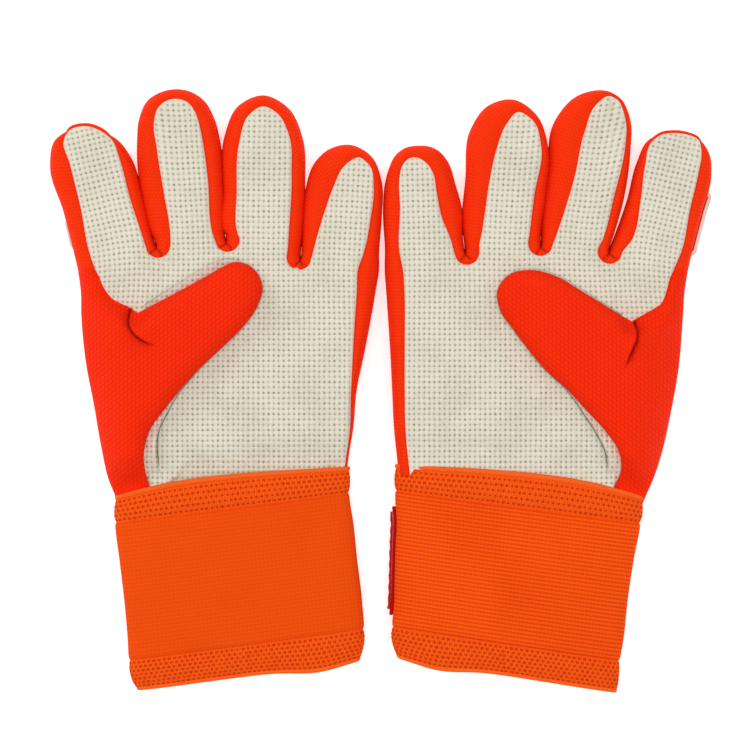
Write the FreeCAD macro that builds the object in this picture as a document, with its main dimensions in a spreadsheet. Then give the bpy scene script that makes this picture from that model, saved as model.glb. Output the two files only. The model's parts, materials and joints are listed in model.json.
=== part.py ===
# A pair of junior goalkeeper gloves, lying palms up with both thumbs folded over the palms.
# Millimetres. X runs across the pair, Y towards the fingertips, Z up from the surface the gloves lie on.
# Places in a glove are given as (out, along): out is the distance from the line between the two
# gloves, positive on both, and along is Y. Each glove is built by the same functions.
import FreeCAD, Part
import math
import os
import Sketcher

doc = FreeCAD.newDocument("goalkeeper_gloves")
sheet = doc.addObject("Spreadsheet::Sheet", "Sizes")

SIZES = {
    # layers, from the surface up
    "back_thick": 1.6,  # embossed backhand
    "pad_thick": 1.6,  # foam behind the knuckles
    "finger_back_thick": 2.4,
    "seam_height": 14.2,  # where the gussets meet the palm, and the fingers crease
    "lining_thick": 0.8,
    "grip_thick": 4.0,  # latex foam palm
    "wall": 2.0,  # gusset cloth, doubled at its seams
    "joint_gap": 0.5,  # free space either side of a crease
    "curl_room": 4.8,  # foam left out past a crease, so that a curled finger clears the palm
    # hand
    "side_slack": 2.6,  # lining and padding stay this far inside the gussets
    "grip_wrist_out": 82.0,
    "web_out": 88.2,  # where the thumb's fold meets the palm
    "web_along": 27.6,
    "shoulder_out": 97.0,
    "shoulder_along": 34.0,
    "thumb_side_low_out": 98.7,
    "thumb_side_low_along": -13.7,
    "thumb_side_mid_out": 102.9,
    "thumb_side_mid_along": 10.9,
    "thumb_side_top_out": 105.6,
    "thumb_side_top_along": 30.0,
    "heel_out": 10.4,
    "heel_along": -10.0,
    "edge_mid_out": 8.4,
    "edge_mid_along": 3.9,
    "edge_top_out": 2.6,
    "edge_top_along": 31.9,
    "grip_edge": 2.2,  # the gusset that shows outside the palm's foam
    # fingers: crease centre, width and reach past the crease
    "index_out": 94.4,
    "index_along": 54.2,
    "index_width": 26.5,
    "index_reach": 39.6,
    "middle_out": 68.1,
    "middle_along": 57.5,
    "middle_width": 24.4,
    "middle_reach": 48.4,
    "ring_out": 41.7,
    "ring_along": 57.8,
    "ring_width": 25.4,
    "ring_reach": 45.0,
    "little_out": 14.2,
    "little_along": 51.6,
    "little_width": 25.2,
    "little_reach": 35.0,
    # how far each finger leans away from the other glove, in degrees
    "left_index_lean": 13.5,
    "left_middle_lean": 4.0,
    "left_ring_lean": -0.6,
    "left_little_lean": -3.2,
    "right_index_lean": 13.5,
    "right_middle_lean": 8.5,
    "right_ring_lean": 4.0,
    "right_little_lean": -1.5,
    # thumb, folded over the palm
    "thumb_lift": 18.6,  # underside of the folded thumb
    "thumb_grip_thick": 2.4,
    "thumb_hollow": 7.0,
    "thumb_back_thick": 2.4,
    "thumb_low_out": 75.4,
    "thumb_low_along": -13.0,
    "thumb_web_out": 80.0,
    "thumb_web_along": 29.0,
    "thumb_tip_out": 49.5,
    "thumb_tip_along": 45.0,
    "thumb_end_out": 40.6,
    "thumb_end_along": 33.5,
    "thumb_belly_out": 60.5,
    "thumb_belly_along": 7.5,
    "thumb_round": 7.5,
    # cuff, measured from the centre of its top edge
    "cuff_out": 52.3,
    "cuff_along": -31.5,
    "cuff_lean": 7.0,
    "cuff_width": 80.0,
    "cuff_length": 69.8,
    "cuff_middle_height": 10.4,
    "sleeve_height": 12.0,
    "sleeve_wall": 2.0,
    "bandage_wall": 1.2,
    "bandage_top": 10.0,  # how far below the cuff's top edge the elastic starts
    "bandage_length": 48.0,
    "binding_length": 3.2,
    # closure under the cuff
    "strap_length": 38.0,
    "strap_top": 15.5,
    "strap_thick": 1.6,
    "strap_reach": 43.4,  # from the cuff's middle line to the strap's outer faces
    "strap_rise": 9.0,  # how far the free end wraps up round the cuff's edge
    "hook_thick": 0.6,
    "hook_width": 44.0,
    "loop_thick": 0.6,
    "loop_width": 56.0,
    "patch_margin": 2.0,
    "tab_width": 9.0,
    "tab_thick": 1.0,
    "anchor_width": 8.0,
    "anchor_thick": 1.0,
}


def fill_sheet():
    """Puts each size in a row of its own, named by its alias."""
    for row, (name, value) in enumerate(SIZES.items(), start=1):
        sheet.set(f"A{row}", name)
        sheet.set(f"B{row}", str(value))
        sheet.setAlias(f"B{row}", name)
    doc.recompute()


def cell(name):
    return f"Sizes.{name}"


def value_of(expression):
    """The number that an expression on the sheet gives now."""
    found = sheet.evalExpression(expression.replace("Sizes.", ""))
    return float(getattr(found, "Value", found))


def new_body(name):
    return doc.addObject("PartDesign::Body", name)


def new_sketch(body, name, role):
    sketch = body.newObject("Sketcher::SketchObject", name)
    plane = [part for part in body.Origin.OriginFeatures if part.Role == role][0]
    sketch.AttachmentSupport = [(plane, "")]
    sketch.MapMode = "FlatFace"
    return sketch


def bind(sketch, name, kind, points, expression):
    """Adds a dimension to a sketch and ties it to the sheet."""
    index = sketch.addConstraint(Sketcher.Constraint(kind, *points, value_of(expression)))
    sketch.renameConstraint(index, name)
    sketch.setExpression(f"Constraints.{name}", expression)


def polygon(body, name, corners, role="XY_Plane"):
    """A closed outline of straight sides. Each corner is a pair of expressions."""
    sketch = new_sketch(body, name, role)
    places = [FreeCAD.Vector(value_of(x), value_of(y), 0) for x, y in corners]
    count = len(places)
    for i in range(count):
        sketch.addGeometry(Part.LineSegment(places[i], places[(i + 1) % count]))
    for i in range(count):
        sketch.addConstraint(Sketcher.Constraint("Coincident", i, 2, (i + 1) % count, 1))
    for i, (x, y) in enumerate(corners):
        bind(sketch, f"across_{i}", "DistanceX", (-1, 1, i, 1), x)
        bind(sketch, f"up_{i}", "DistanceY", (-1, 1, i, 1), y)
    return sketch


def tongue(body, name, width, start, reach):
    """A finger's outline: straight sides along Y and a round tip at reach."""
    sketch = new_sketch(body, name, "XY_Plane")
    half = value_of(width) / 2
    low = value_of(start)
    centre = value_of(reach) - half
    corner = [FreeCAD.Vector(x, y, 0) for x, y in ((half, low), (half, centre), (-half, centre), (-half, low))]
    round_tip = Part.Circle(FreeCAD.Vector(0, centre, 0), FreeCAD.Vector(0, 0, 1), half)
    sketch.addGeometry(Part.LineSegment(corner[0], corner[1]))
    sketch.addGeometry(Part.ArcOfCircle(round_tip, 0, math.pi))
    sketch.addGeometry(Part.LineSegment(corner[2], corner[3]))
    sketch.addGeometry(Part.LineSegment(corner[3], corner[0]))
    sketch.addConstraint(Sketcher.Constraint("Tangent", 0, 2, 1, 1))
    sketch.addConstraint(Sketcher.Constraint("Tangent", 1, 2, 2, 1))
    sketch.addConstraint(Sketcher.Constraint("Coincident", 2, 2, 3, 1))
    sketch.addConstraint(Sketcher.Constraint("Coincident", 3, 2, 0, 1))
    sketch.addConstraint(Sketcher.Constraint("Vertical", 0))
    sketch.addConstraint(Sketcher.Constraint("Vertical", 2))
    sketch.addConstraint(Sketcher.Constraint("Horizontal", 3))
    sketch.addConstraint(Sketcher.Constraint("PointOnObject", 1, 3, -2))
    bind(sketch, "width", "DistanceX", (3, 1, 3, 2), width)
    bind(sketch, "start", "DistanceY", (-1, 1, 3, 1), start)
    bind(sketch, "tip_centre", "DistanceY", (-1, 1, 1, 3), f"{reach} - {width} / 2")
    return sketch


def stadium(body, name, width, height, middle):
    """The outline of a flattened tube, on the XZ plane, centred at height middle."""
    sketch = new_sketch(body, name, "XZ_Plane")
    radius = value_of(height) / 2
    reach = value_of(width) / 2 - radius
    level = value_of(middle)
    normal = FreeCAD.Vector(0, 0, 1)
    right = Part.Circle(FreeCAD.Vector(reach, level, 0), normal, radius)
    left = Part.Circle(FreeCAD.Vector(-reach, level, 0), normal, radius)
    top = (FreeCAD.Vector(reach, level + radius, 0), FreeCAD.Vector(-reach, level + radius, 0))
    low = (FreeCAD.Vector(-reach, level - radius, 0), FreeCAD.Vector(reach, level - radius, 0))
    sketch.addGeometry(Part.ArcOfCircle(right, -math.pi / 2, math.pi / 2))
    sketch.addGeometry(Part.LineSegment(*top))
    sketch.addGeometry(Part.ArcOfCircle(left, math.pi / 2, 3 * math.pi / 2))
    sketch.addGeometry(Part.LineSegment(*low))
    for i in range(4):
        sketch.addConstraint(Sketcher.Constraint("Tangent", i, 2, (i + 1) % 4, 1))
    sketch.addConstraint(Sketcher.Constraint("Horizontal", 1))
    sketch.addConstraint(Sketcher.Constraint("Horizontal", 3))
    bind(sketch, "right_centre", "DistanceX", (-1, 1, 0, 3), f"({width} - {height}) / 2")
    bind(sketch, "left_centre", "DistanceX", (2, 3, -1, 1), f"({width} - {height}) / 2")
    bind(sketch, "level", "DistanceY", (-1, 1, 0, 3), middle)
    bind(sketch, "round", "Radius", (0,), f"{height} / 2")
    return sketch


def pad(body, sketch, length):
    feature = body.newObject("PartDesign::Pad", f"{sketch.Name}_pad")
    feature.Profile = sketch
    feature.setExpression("Length", length)
    body.Tip = feature
    doc.recompute()
    return feature


def pocket_through(body, sketch):
    """Cuts the sketch out of all of the body, and makes sure that something was cut."""
    before = body.Shape.Volume
    feature = body.newObject("PartDesign::Pocket", f"{sketch.Name}_pocket")
    feature.Profile = sketch
    feature.Type = "ThroughAll"
    feature.Reversed = True
    body.Tip = feature
    doc.recompute()
    if not body.Shape.Volume < before - 1:
        raise RuntimeError(f"{feature.Name} cut nothing")
    return feature


def round_upright_edges(body, places, radius):
    """Rounds the edges that stand upright at the given places in the body's own frame."""
    feature = body.Tip
    chosen = []
    for number, edge in enumerate(feature.Shape.Edges, start=1):
        ends = [vertex.Point for vertex in edge.Vertexes]
        for x, y in places:
            if all(math.hypot(end.x - x, end.y - y) < 0.01 for end in ends):
                chosen.append(f"Edge{number}")
    fillet = body.newObject("PartDesign::Fillet", f"{body.Name}_rounds")
    fillet.Base = (feature, chosen)
    fillet.setExpression("Radius", radius)
    body.Tip = fillet
    doc.recompute()


def hollow_out(body, open_faces, wall):
    """Leaves a wall inside the outline, open at the faces whose outward direction is named."""
    feature = body.Tip
    chosen = []
    for number, face in enumerate(feature.Shape.Faces, start=1):
        direction = face.normalAt(0.5, 0.5)
        if any(direction.dot(FreeCAD.Vector(*wanted)) > 0.99 for wanted in open_faces):
            chosen.append(f"Face{number}")
    shell = body.newObject("PartDesign::Thickness", f"{body.Name}_hollow")
    shell.Base = (feature, chosen)
    shell.setExpression("Value", wall)
    shell.Reversed = True
    body.Tip = shell
    doc.recompute()


def raise_to(body, height):
    body.setExpression("Placement.Base.z", height)


class Glove:
    """One glove. side is -1 for the left hand, whose thumb is at -X, and 1 for the right hand."""

    fingers = ("index", "middle", "ring", "little")

    def __init__(self, name, side):
        self.name = name
        self.side = side

    def label(self, piece):
        return f"{self.name}_{piece}"

    def place(self, out, along):
        return (f"{self.side} * ({out})", along)

    def lean(self, finger):
        return cell(f"{self.name}_{finger}_lean")

    def crease_end(self, finger, end):
        """The end of a finger's crease line, on the hand's side. end is 1 at the outer end and -1 at the inner."""
        angle = f"({self.lean(finger)} * 1 deg)"
        half = f"{end} * {cell(finger + '_width')} / 2"
        out = f"{cell(finger + '_out')} + {half} * cos{angle} - {cell('joint_gap')} * sin{angle}"
        along = f"{cell(finger + '_along')} - {half} * sin{angle} - {cell('joint_gap')} * cos{angle}"
        return self.place(out, along)

    def crease_line(self):
        return [self.crease_end(finger, end) for finger in self.fingers for end in (1, -1)]

    def cuff_line(self, out):
        """The point of the cuff's top edge that is at this distance out."""
        run = f"(({out}) - {cell('cuff_out')})"
        slope = f"tan({cell('cuff_lean')} * 1 deg)"
        return self.place(out, f"{cell('cuff_along')} - {run} * {slope}")

    def cuff_end(self, end, inset="0"):
        half = f"({cell('cuff_width')} / 2 * cos({cell('cuff_lean')} * 1 deg) - {inset})"
        return self.cuff_line(f"{cell('cuff_out')} + {end} * {half}")

    def thumb_side(self, inset="0"):
        return [
            self.place(f"{cell(place + '_out')} - {inset}", cell(place + "_along"))
            for place in ("thumb_side_low", "thumb_side_mid", "thumb_side_top")
        ]

    def little_side(self, inset="0"):
        return [
            self.place(f"{cell(place + '_out')} + {inset}", cell(place + "_along"))
            for place in ("edge_top", "edge_mid", "heel")
        ]

    def set_finger_place(self, body, finger, height):
        body.setExpression("Placement.Base.x", f"{self.side} * {cell(finger + '_out')}")
        body.setExpression("Placement.Base.y", cell(finger + "_along"))
        body.setExpression("Placement.Rotation.Angle", f"{-self.side} * {self.lean(finger)} * 1 deg")
        raise_to(body, height)

    def slab(self, piece, corners, thick, height):
        body = new_body(self.label(piece))
        pad(body, polygon(body, f"{body.Name}_outline", corners), thick)
        raise_to(body, height)
        return body

    def palm_and_back(self):
        grip = [self.cuff_line(cell("grip_wrist_out"))]
        grip += [self.place(cell(f"{place}_out"), cell(f"{place}_along")) for place in ("web", "shoulder")]
        grip += self.crease_line() + self.little_side(cell("grip_edge"))
        grip += [self.cuff_end(-1, cell("grip_edge"))]
        self.slab("palm_grip", grip, cell("grip_thick"), cell("seam_height"))

        inside = [self.cuff_end(1, cell("side_slack"))]
        inside += self.thumb_side(cell("side_slack"))[:2]
        inside += [self.place(cell("shoulder_out"), f"{cell('index_along')} - 12")]
        inside += [
            self.place(cell(f"{finger}_out"), f"{cell(finger + '_along')} - 4") for finger in self.fingers[1:3]
        ]
        inside += [self.place(f"{cell('little_out')} - 4", f"{cell('little_along')} - 4")]
        inside += self.little_side(cell("side_slack")) + [self.cuff_end(-1, cell("side_slack"))]
        self.slab("palm_lining", inside, cell("lining_thick"), f"{cell('seam_height')} - {cell('lining_thick')}")
        self.slab("back_padding", inside, cell("pad_thick"), cell("back_thick"))

        back = [self.cuff_end(1)] + self.thumb_side() + self.crease_line()
        back += self.little_side() + [self.cuff_end(-1)]
        self.slab("back_panel", back, cell("back_thick"), "0")

    def hand_gussets(self):
        rise = f"{cell('seam_height')} - {cell('back_thick')}"
        index_end = [self.crease_end("index", 1)]
        inner_end = self.place(
            f"{cell('index_out')} + {cell('index_width')} / 2 - {cell('wall')}", f"{cell('index_along')} - 4"
        )
        outline = [self.cuff_end(1)] + self.thumb_side() + index_end + [inner_end]
        outline += self.thumb_side(cell("wall"))[::-1] + [self.cuff_end(1, cell("wall"))]
        self.slab("thumb_side_gusset", outline, rise, cell("back_thick"))

        little_end = self.crease_end("little", -1)
        inner_end = self.place(
            f"{cell('little_out')} - {cell('little_width')} / 2 + {cell('wall')}", f"{cell('little_along')} - 1"
        )
        outline = [little_end] + self.little_side() + [self.cuff_end(-1), self.cuff_end(-1, cell("wall"))]
        outline += self.little_side(cell("wall"))[::-1] + [inner_end]
        self.slab("outer_gusset", outline, rise, cell("back_thick"))

    def finger(self, finger):
        """Foam front, gusset round the sides and tip, and back. The frame's origin is the crease."""
        width = cell(f"{finger}_width")
        reach = cell(f"{finger}_reach")
        grip = new_body(self.label(f"{finger}_grip"))
        pad(grip, tongue(grip, f"{grip.Name}_outline", width, cell("curl_room"), reach), cell("grip_thick"))
        self.set_finger_place(grip, finger, cell("seam_height"))

        gusset = new_body(self.label(f"{finger}_gusset"))
        outline = tongue(gusset, f"{gusset.Name}_outline", width, cell("joint_gap"), reach)
        pad(gusset, outline, f"{cell('seam_height')} - {cell('finger_back_thick')}")
        hollow = tongue(
            gusset,
            f"{gusset.Name}_hollow",
            f"({width} - 2 * {cell('wall')})",
            f"{cell('joint_gap')} - 1",
            f"({reach} - {cell('wall')})",
        )
        pocket_through(gusset, hollow)
        self.set_finger_place(gusset, finger, cell("finger_back_thick"))

        back = new_body(self.label(f"{finger}_back"))
        pad(back, tongue(back, f"{back.Name}_outline", width, cell("joint_gap"), reach), cell("finger_back_thick"))
        self.set_finger_place(back, finger, "0")

    def thumb(self):
        """The folded thumb: foam against the palm, gusset round the edge and cloth back on top."""
        places = ("thumb_low", "thumb_web", "thumb_tip", "thumb_end", "thumb_belly")
        corners = [self.place(cell(f"{place}_out"), cell(f"{place}_along")) for place in places]
        rounded = [(value_of(x), value_of(y)) for x, y in corners[2:4]]
        base = [FreeCAD.Vector(value_of(x), value_of(y), 0) for x, y in corners[:2]]
        side = (base[1] - base[0]).normalize()
        opening = (side.y * self.side, -side.x * self.side, 0)
        levels = (
            ("thumb_grip", cell("thumb_grip_thick"), cell("thumb_lift")),
            ("thumb_gusset", cell("thumb_hollow"), f"{cell('thumb_lift')} + {cell('thumb_grip_thick')}"),
            (
                "thumb_back",
                cell("thumb_back_thick"),
                f"{cell('thumb_lift')} + {cell('thumb_grip_thick')} + {cell('thumb_hollow')}",
            ),
        )
        for piece, thick, height in levels:
            body = new_body(self.label(piece))
            pad(body, polygon(body, f"{body.Name}_outline", corners), thick)
            round_upright_edges(body, rounded, cell("thumb_round"))
            if piece == "thumb_gusset":
                hollow_out(body, [(0, 0, 1), (0, 0, -1), opening], cell("wall"))
            raise_to(body, height)

    def set_cuff_place(self, body, below_top="0", height="0"):
        """Puts a body whose frame is the cuff's own where the cuff is."""
        slide = f"({below_top})"
        lean = f"({cell('cuff_lean')} * 1 deg)"
        x = f"{self.side} * ({cell('cuff_out')} - {slide} * sin{lean})"
        y = f"{cell('cuff_along')} - {slide} * cos{lean}"
        body.setExpression("Placement.Base.x", x)
        body.setExpression("Placement.Base.y", y)
        body.setExpression("Placement.Rotation.Angle", f"{-self.side} * {cell('cuff_lean')} * 1 deg")
        raise_to(body, height)

    def cuff_ring(self, piece, width, height, wall, length, below_top):
        body = new_body(self.label(piece))
        middle = cell("cuff_middle_height")
        pad(body, stadium(body, f"{body.Name}_outline", width, height, middle), length)
        inner = [f"({size} - 2 * {wall})" for size in (width, height)]
        pocket_through(body, stadium(body, f"{body.Name}_hollow", *inner, middle))
        self.set_cuff_place(body, below_top)

    def cuff(self):
        width = cell("cuff_width")
        height = cell("sleeve_height")
        outer = cell("bandage_wall")
        over = [f"({size} + 2 * {outer})" for size in (width, height)]
        self.cuff_ring("cuff_sleeve", width, height, cell("sleeve_wall"), cell("cuff_length"), "0")
        self.cuff_ring(
            "elastic_bandage", *over, outer, cell("bandage_length"), cell("bandage_top")
        )
        self.cuff_ring("cuff_top_binding", *over, outer, cell("binding_length"), "0")
        self.cuff_ring(
            "cuff_bottom_binding",
            *over,
            outer,
            cell("binding_length"),
            f"{cell('cuff_length')} - {cell('binding_length')}",
        )

    def plate(self, piece, left, right, thick, length, height, below_top):
        """A flat rectangle in the cuff's frame, from left to right and length long towards the wrist."""
        body = new_body(self.label(piece))
        across = (f"{self.side} * ({left})", f"{self.side} * ({right})")
        corners = [(across[0], "0"), (across[1], "0"), (across[1], f"-{length}"), (across[0], f"-{length}")]
        pad(body, polygon(body, f"{body.Name}_outline", corners), thick)
        self.set_cuff_place(body, below_top, height)

    def closure(self):
        """Hook and loop strap under the cuff. It is sewn down at the thumb side and opens from the other."""
        reach = cell("strap_reach")
        thick = cell("strap_thick")
        patch_length = f"({cell('strap_length')} - 2 * {cell('patch_margin')})"
        patch_top = f"{cell('strap_top')} + {cell('patch_margin')}"
        bandage_base = f"({cell('cuff_middle_height')} - {cell('sleeve_height')} / 2 - {cell('bandage_wall')})"
        loop_reach = f"({cell('cuff_width')} / 2 - {cell('sleeve_height')})"
        self.plate(
            "loop_patch",
            f"-{loop_reach}",
            f"{cell('loop_width')} - {loop_reach}",
            cell("loop_thick"),
            patch_length,
            f"{bandage_base} - {cell('loop_thick')}",
            patch_top,
        )
        self.plate(
            "strap_anchor",
            f"{reach} - {cell('anchor_width')} - {cell('tab_width')} / 2",
            f"{reach} - {cell('tab_width')} / 2",
            cell("anchor_thick"),
            cell("strap_length"),
            f"{bandage_base} - {cell('anchor_thick')}",
            cell("strap_top"),
        )
        self.plate(
            "hook_patch",
            f"-{loop_reach}",
            f"{cell('hook_width')} - {loop_reach}",
            cell("hook_thick"),
            patch_length,
            thick,
            patch_top,
        )
        strap = new_body(self.label("wrist_strap"))
        rise = cell("strap_rise")
        free = f"{-self.side} * {reach}"
        inner = f"{-self.side} * ({reach} - {thick})"
        sewn = f"{self.side} * {reach}"
        profile = [(free, "0"), (sewn, "0"), (sewn, thick), (inner, thick), (inner, rise), (free, rise)]
        pad(strap, polygon(strap, f"{strap.Name}_outline", profile, "XZ_Plane"), cell("strap_length"))
        self.set_cuff_place(strap, cell("strap_top"))
        tab = new_body(self.label("pull_tab"))
        outer = f"{-self.side} * ({reach} + {cell('tab_thick')})"
        profile = [(outer, "1"), (free, "1"), (free, rise), (outer, rise)]
        pad(tab, polygon(tab, f"{tab.Name}_outline", profile, "XZ_Plane"), patch_length)
        self.set_cuff_place(tab, patch_top)

    def build(self):
        self.palm_and_back()
        self.hand_gussets()
        for finger in self.fingers:
            self.finger(finger)
        self.thumb()
        self.cuff()
        self.closure()


def check_and_export():
    doc.recompute()
    for item in doc.Objects:
        if "Invalid" in item.State or "Error" in item.State:
            raise RuntimeError(f"{item.Name} failed: {item.State}")
    bodies = [item for item in doc.Objects if item.TypeId == "PartDesign::Body"]
    for body in bodies:
        if body.Shape.isNull() or not body.Shape.isValid() or body.Shape.Volume <= 0:
            raise RuntimeError(f"{body.Label} has no valid shape")
    os.makedirs("parts", exist_ok=True)
    whole = FreeCAD.BoundBox()
    for body in bodies:
        body.Shape.exportStep(os.path.join("parts", f"{body.Label}.step"))
        whole.add(body.Shape.BoundBox)
    print(f"{len(bodies)} pieces, X {whole.XMin:.2f} to {whole.XMax:.2f}, Y {whole.YMin:.2f} to {whole.YMax:.2f},"
          f" Z {whole.ZMin:.2f} to {whole.ZMax:.2f}")


fill_sheet()
Glove("left", -1).build()
Glove("right", 1).build()
check_and_export()
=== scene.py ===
import bpy
import bmesh
import json
import math
import numpy as np
from functools import partial
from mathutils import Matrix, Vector
from mathutils.geometry import delaunay_2d_cdt


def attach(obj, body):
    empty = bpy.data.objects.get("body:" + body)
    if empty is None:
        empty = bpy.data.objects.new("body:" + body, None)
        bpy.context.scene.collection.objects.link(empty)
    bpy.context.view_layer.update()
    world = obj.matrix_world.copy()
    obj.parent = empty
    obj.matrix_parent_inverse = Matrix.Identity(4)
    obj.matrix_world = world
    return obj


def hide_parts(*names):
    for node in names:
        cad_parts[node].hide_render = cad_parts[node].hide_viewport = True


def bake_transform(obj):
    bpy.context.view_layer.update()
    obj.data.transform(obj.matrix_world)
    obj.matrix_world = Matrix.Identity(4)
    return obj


# A pair of junior goalkeeper gloves, palms up. Sizes in the dictionaries are millimetres.
# A place in a glove is (out, along): out is the distance from the line between the gloves,
# positive on both sides, and along runs to the fingertips. A finger's own places are measured
# from its crease: x away from the other glove, y towards the tip.

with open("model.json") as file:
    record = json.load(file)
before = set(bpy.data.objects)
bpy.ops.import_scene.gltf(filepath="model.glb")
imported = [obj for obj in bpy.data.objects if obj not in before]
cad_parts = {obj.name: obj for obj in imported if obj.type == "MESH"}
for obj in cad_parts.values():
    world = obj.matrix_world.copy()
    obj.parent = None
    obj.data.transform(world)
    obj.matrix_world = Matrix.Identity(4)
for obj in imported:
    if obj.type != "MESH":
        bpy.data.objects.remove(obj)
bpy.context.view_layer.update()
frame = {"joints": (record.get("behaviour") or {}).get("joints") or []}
mm = 0.001
sides = {"left": -1, "right": 1}
fingerNames = ("index", "middle", "ring", "little")
joints = {joint["name"]: joint for joint in frame["joints"]}


def linearColour(hexValue):
    # sRGB hex to linear
    parts = [int(hexValue[i:i + 2], 16) / 255 for i in (1, 3, 5)]
    return [p / 12.92 if p <= 0.04045 else ((p + 0.055) / 1.055) ** 2.4 for p in parts] + [1.0]


def addNode(tree, kind, inputs=(), out=0, **settings):
    # inputs, in order or by name, are sockets to join, hex colours or plain values
    node = tree.nodes.new(kind)
    for name, value in settings.items():
        setattr(node, name, value)
    for slot, value in inputs.items() if isinstance(inputs, dict) else enumerate(inputs):
        if isinstance(value, bpy.types.NodeSocket):
            tree.links.new(value, node.inputs[slot])
        elif isinstance(value, str) and value.startswith("#"):
            node.inputs[slot].default_value = linearColour(value)
        else:
            node.inputs[slot].default_value = value
    return node.outputs[out]


def newMaterial(name, roughness):
    # a matt material, and the call that adds a node to it
    material = bpy.data.materials.new(name)
    material.use_nodes = True
    shader = material.node_tree.nodes["Principled BSDF"]
    for label, value in (("Roughness", roughness), ("IOR", 1.45), ("Specular IOR Level", 0.1)):
        shader.inputs[label].default_value = value
    return material, partial(addNode, material.node_tree)


def finishMaterial(material, add, colour, height, depth):
    # joins the colour, and the relief; depth is in millimetres
    links, shader = material.node_tree.links, material.node_tree.nodes["Principled BSDF"]
    relief = add("ShaderNodeBump", {"Height": height, "Distance": depth * mm, "Strength": 1.0})
    links.new(colour, shader.inputs["Base Color"])
    links.new(relief, shader.inputs["Normal"])
    return material


def clothCoordinates(add):
    # the cloth's own surface, in millimetres, and its parts across and along the weave
    uv = add("ShaderNodeUVMap", uv_map="Cloth")
    split = add("ShaderNodeSeparateXYZ", (uv,)).node.outputs
    return uv, split[0], split[1]


def objectMillimetres(add):
    place = add("ShaderNodeTexCoord", out=3)
    return add("ShaderNodeVectorMath", {0: place, "Scale": 1000.0}, operation="SCALE")


def wave(add, coordinate, pitch, phase=0.0):
    # 0 to 1 and back once in each pitch
    turns = add("ShaderNodeMath", (coordinate, 2 * math.pi / pitch, phase), operation="MULTIPLY_ADD")
    cosine = add("ShaderNodeMath", (turns,), operation="COSINE")
    return add("ShaderNodeMath", (cosine, 0.5, 0.5), operation="MULTIPLY_ADD")


# the pit and crease colours are painted shade; the seam colour is a painted pink glow of light from the orange
# cloth beside a seam
waffle = {
    "across": 1.77, "along": 1.86, "thread": "#E6E0CF", "shade": "#DCD6C2", "knot": "#F0ECDE", "pitShade": "#958E70",
    "seam": "#F2D8C6", "crease": "#6F6850", "drift": 0.5, "lines": 0.1, "depth": 0.4,
}


def latexWaffle():
    # Latex foam on a waffle-woven backing: matt, ivory, threads stand up round small uneven pits, which are
    # painted darker as their shade.
    material, add = newMaterial("latex foam waffle", 0.85)
    uv, across, along = clothCoordinates(add)
    drift = add("ShaderNodeTexNoise", {"Vector": uv, "Scale": 0.22})
    drifted = add("ShaderNodeMath", (drift, waffle["drift"], across), operation="MULTIPLY_ADD")
    warps = wave(add, drifted, waffle["across"])
    drifted = add("ShaderNodeMath", (drift, -waffle["drift"], along), operation="MULTIPLY_ADD")
    wefts = wave(add, drifted, waffle["along"])
    offWarps = add("ShaderNodeMath", (1.0, warps), operation="SUBTRACT")
    offWefts = add("ShaderNodeMath", (1.0, wefts), operation="SUBTRACT")
    hollow = add("ShaderNodeMath", (offWarps, offWefts), operation="MULTIPLY")
    between = add("ShaderNodeMath", (offWarps, offWefts), operation="MAXIMUM")
    # painted shade in the pits, and faintly along the lines between threads
    pitShade = add("ShaderNodeMapRange", (hollow, 0.3, 1.0), interpolation_type="SMOOTHSTEP")
    lines = add("ShaderNodeMapRange", (between, 0.6, 1.0), interpolation_type="SMOOTHSTEP")
    pitShade = add("ShaderNodeMath", (lines, waffle["lines"], pitShade), operation="MULTIPLY_ADD", use_clamp=True)
    uneven = add("ShaderNodeTexNoise", {"Vector": uv, "Scale": 0.55})
    strength = add("ShaderNodeMath", (uneven, 1.8, -0.15), operation="MULTIPLY_ADD")
    dark = add("ShaderNodeMath", (pitShade, strength), operation="MULTIPLY", use_clamp=True)
    # the weave is pressed out beside a seam, so its pits get less painted shade there
    seam = add("ShaderNodeAttribute", out=2, attribute_name="seamNear")
    plain = add("ShaderNodeMath", (seam, -0.9, 1.0), operation="MULTIPLY_ADD")
    dark = add("ShaderNodeMath", (dark, plain), operation="MULTIPLY")
    blotch = add("ShaderNodeTexNoise", {"Vector": uv, "Scale": 0.06, "Detail": 3.0})
    blotch = add("ShaderNodeMapRange", (blotch, 0.35, 0.7), interpolation_type="SMOOTHSTEP")
    base = add("ShaderNodeMix", {0: blotch, 6: waffle["thread"], 7: waffle["shade"]}, 2, data_type="RGBA")
    patch = add("ShaderNodeTexNoise", {"Vector": uv, "Scale": 0.8})
    patch = add("ShaderNodeMapRange", (patch, 0.35, 0.75), interpolation_type="SMOOTHSTEP")
    knot = add("ShaderNodeMath", (warps, wefts), operation="MULTIPLY")
    knot = add("ShaderNodeMath", (knot, patch), operation="MULTIPLY")
    base = add("ShaderNodeMix", {0: knot, 6: base, 7: waffle["knot"]}, 2, data_type="RGBA")
    # painted pink glow of light from the orange cloth beside a seam
    seamGlow = add("ShaderNodeMath", (seam, 0.5), operation="MULTIPLY")
    base = add("ShaderNodeMix", {0: seamGlow, 6: base, 7: waffle["seam"]}, 2, data_type="RGBA")
    colour = add("ShaderNodeMix", {0: dark, 6: base, 7: waffle["pitShade"]}, 2, data_type="RGBA")
    # painted shade where a piece marks a crease or fold
    crease = add("ShaderNodeAttribute", out=2, attribute_name="crease")
    colour = add("ShaderNodeMix", {0: crease, 6: colour, 7: waffle["crease"]}, 2, data_type="RGBA")
    ribs = add("ShaderNodeMath", (warps, wefts), operation="MAXIMUM")
    height = add("ShaderNodeMath", (ribs, 0.6), operation="MULTIPLY")
    fine = add("ShaderNodeTexNoise", {"Vector": uv, "Scale": 2.4})
    height = add("ShaderNodeMath", (fine, 0.35, height), operation="MULTIPLY_ADD")
    height = add("ShaderNodeMath", (knot, 0.3, height), operation="MULTIPLY_ADD")
    return finishMaterial(material, add, colour, height, waffle["depth"])


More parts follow.
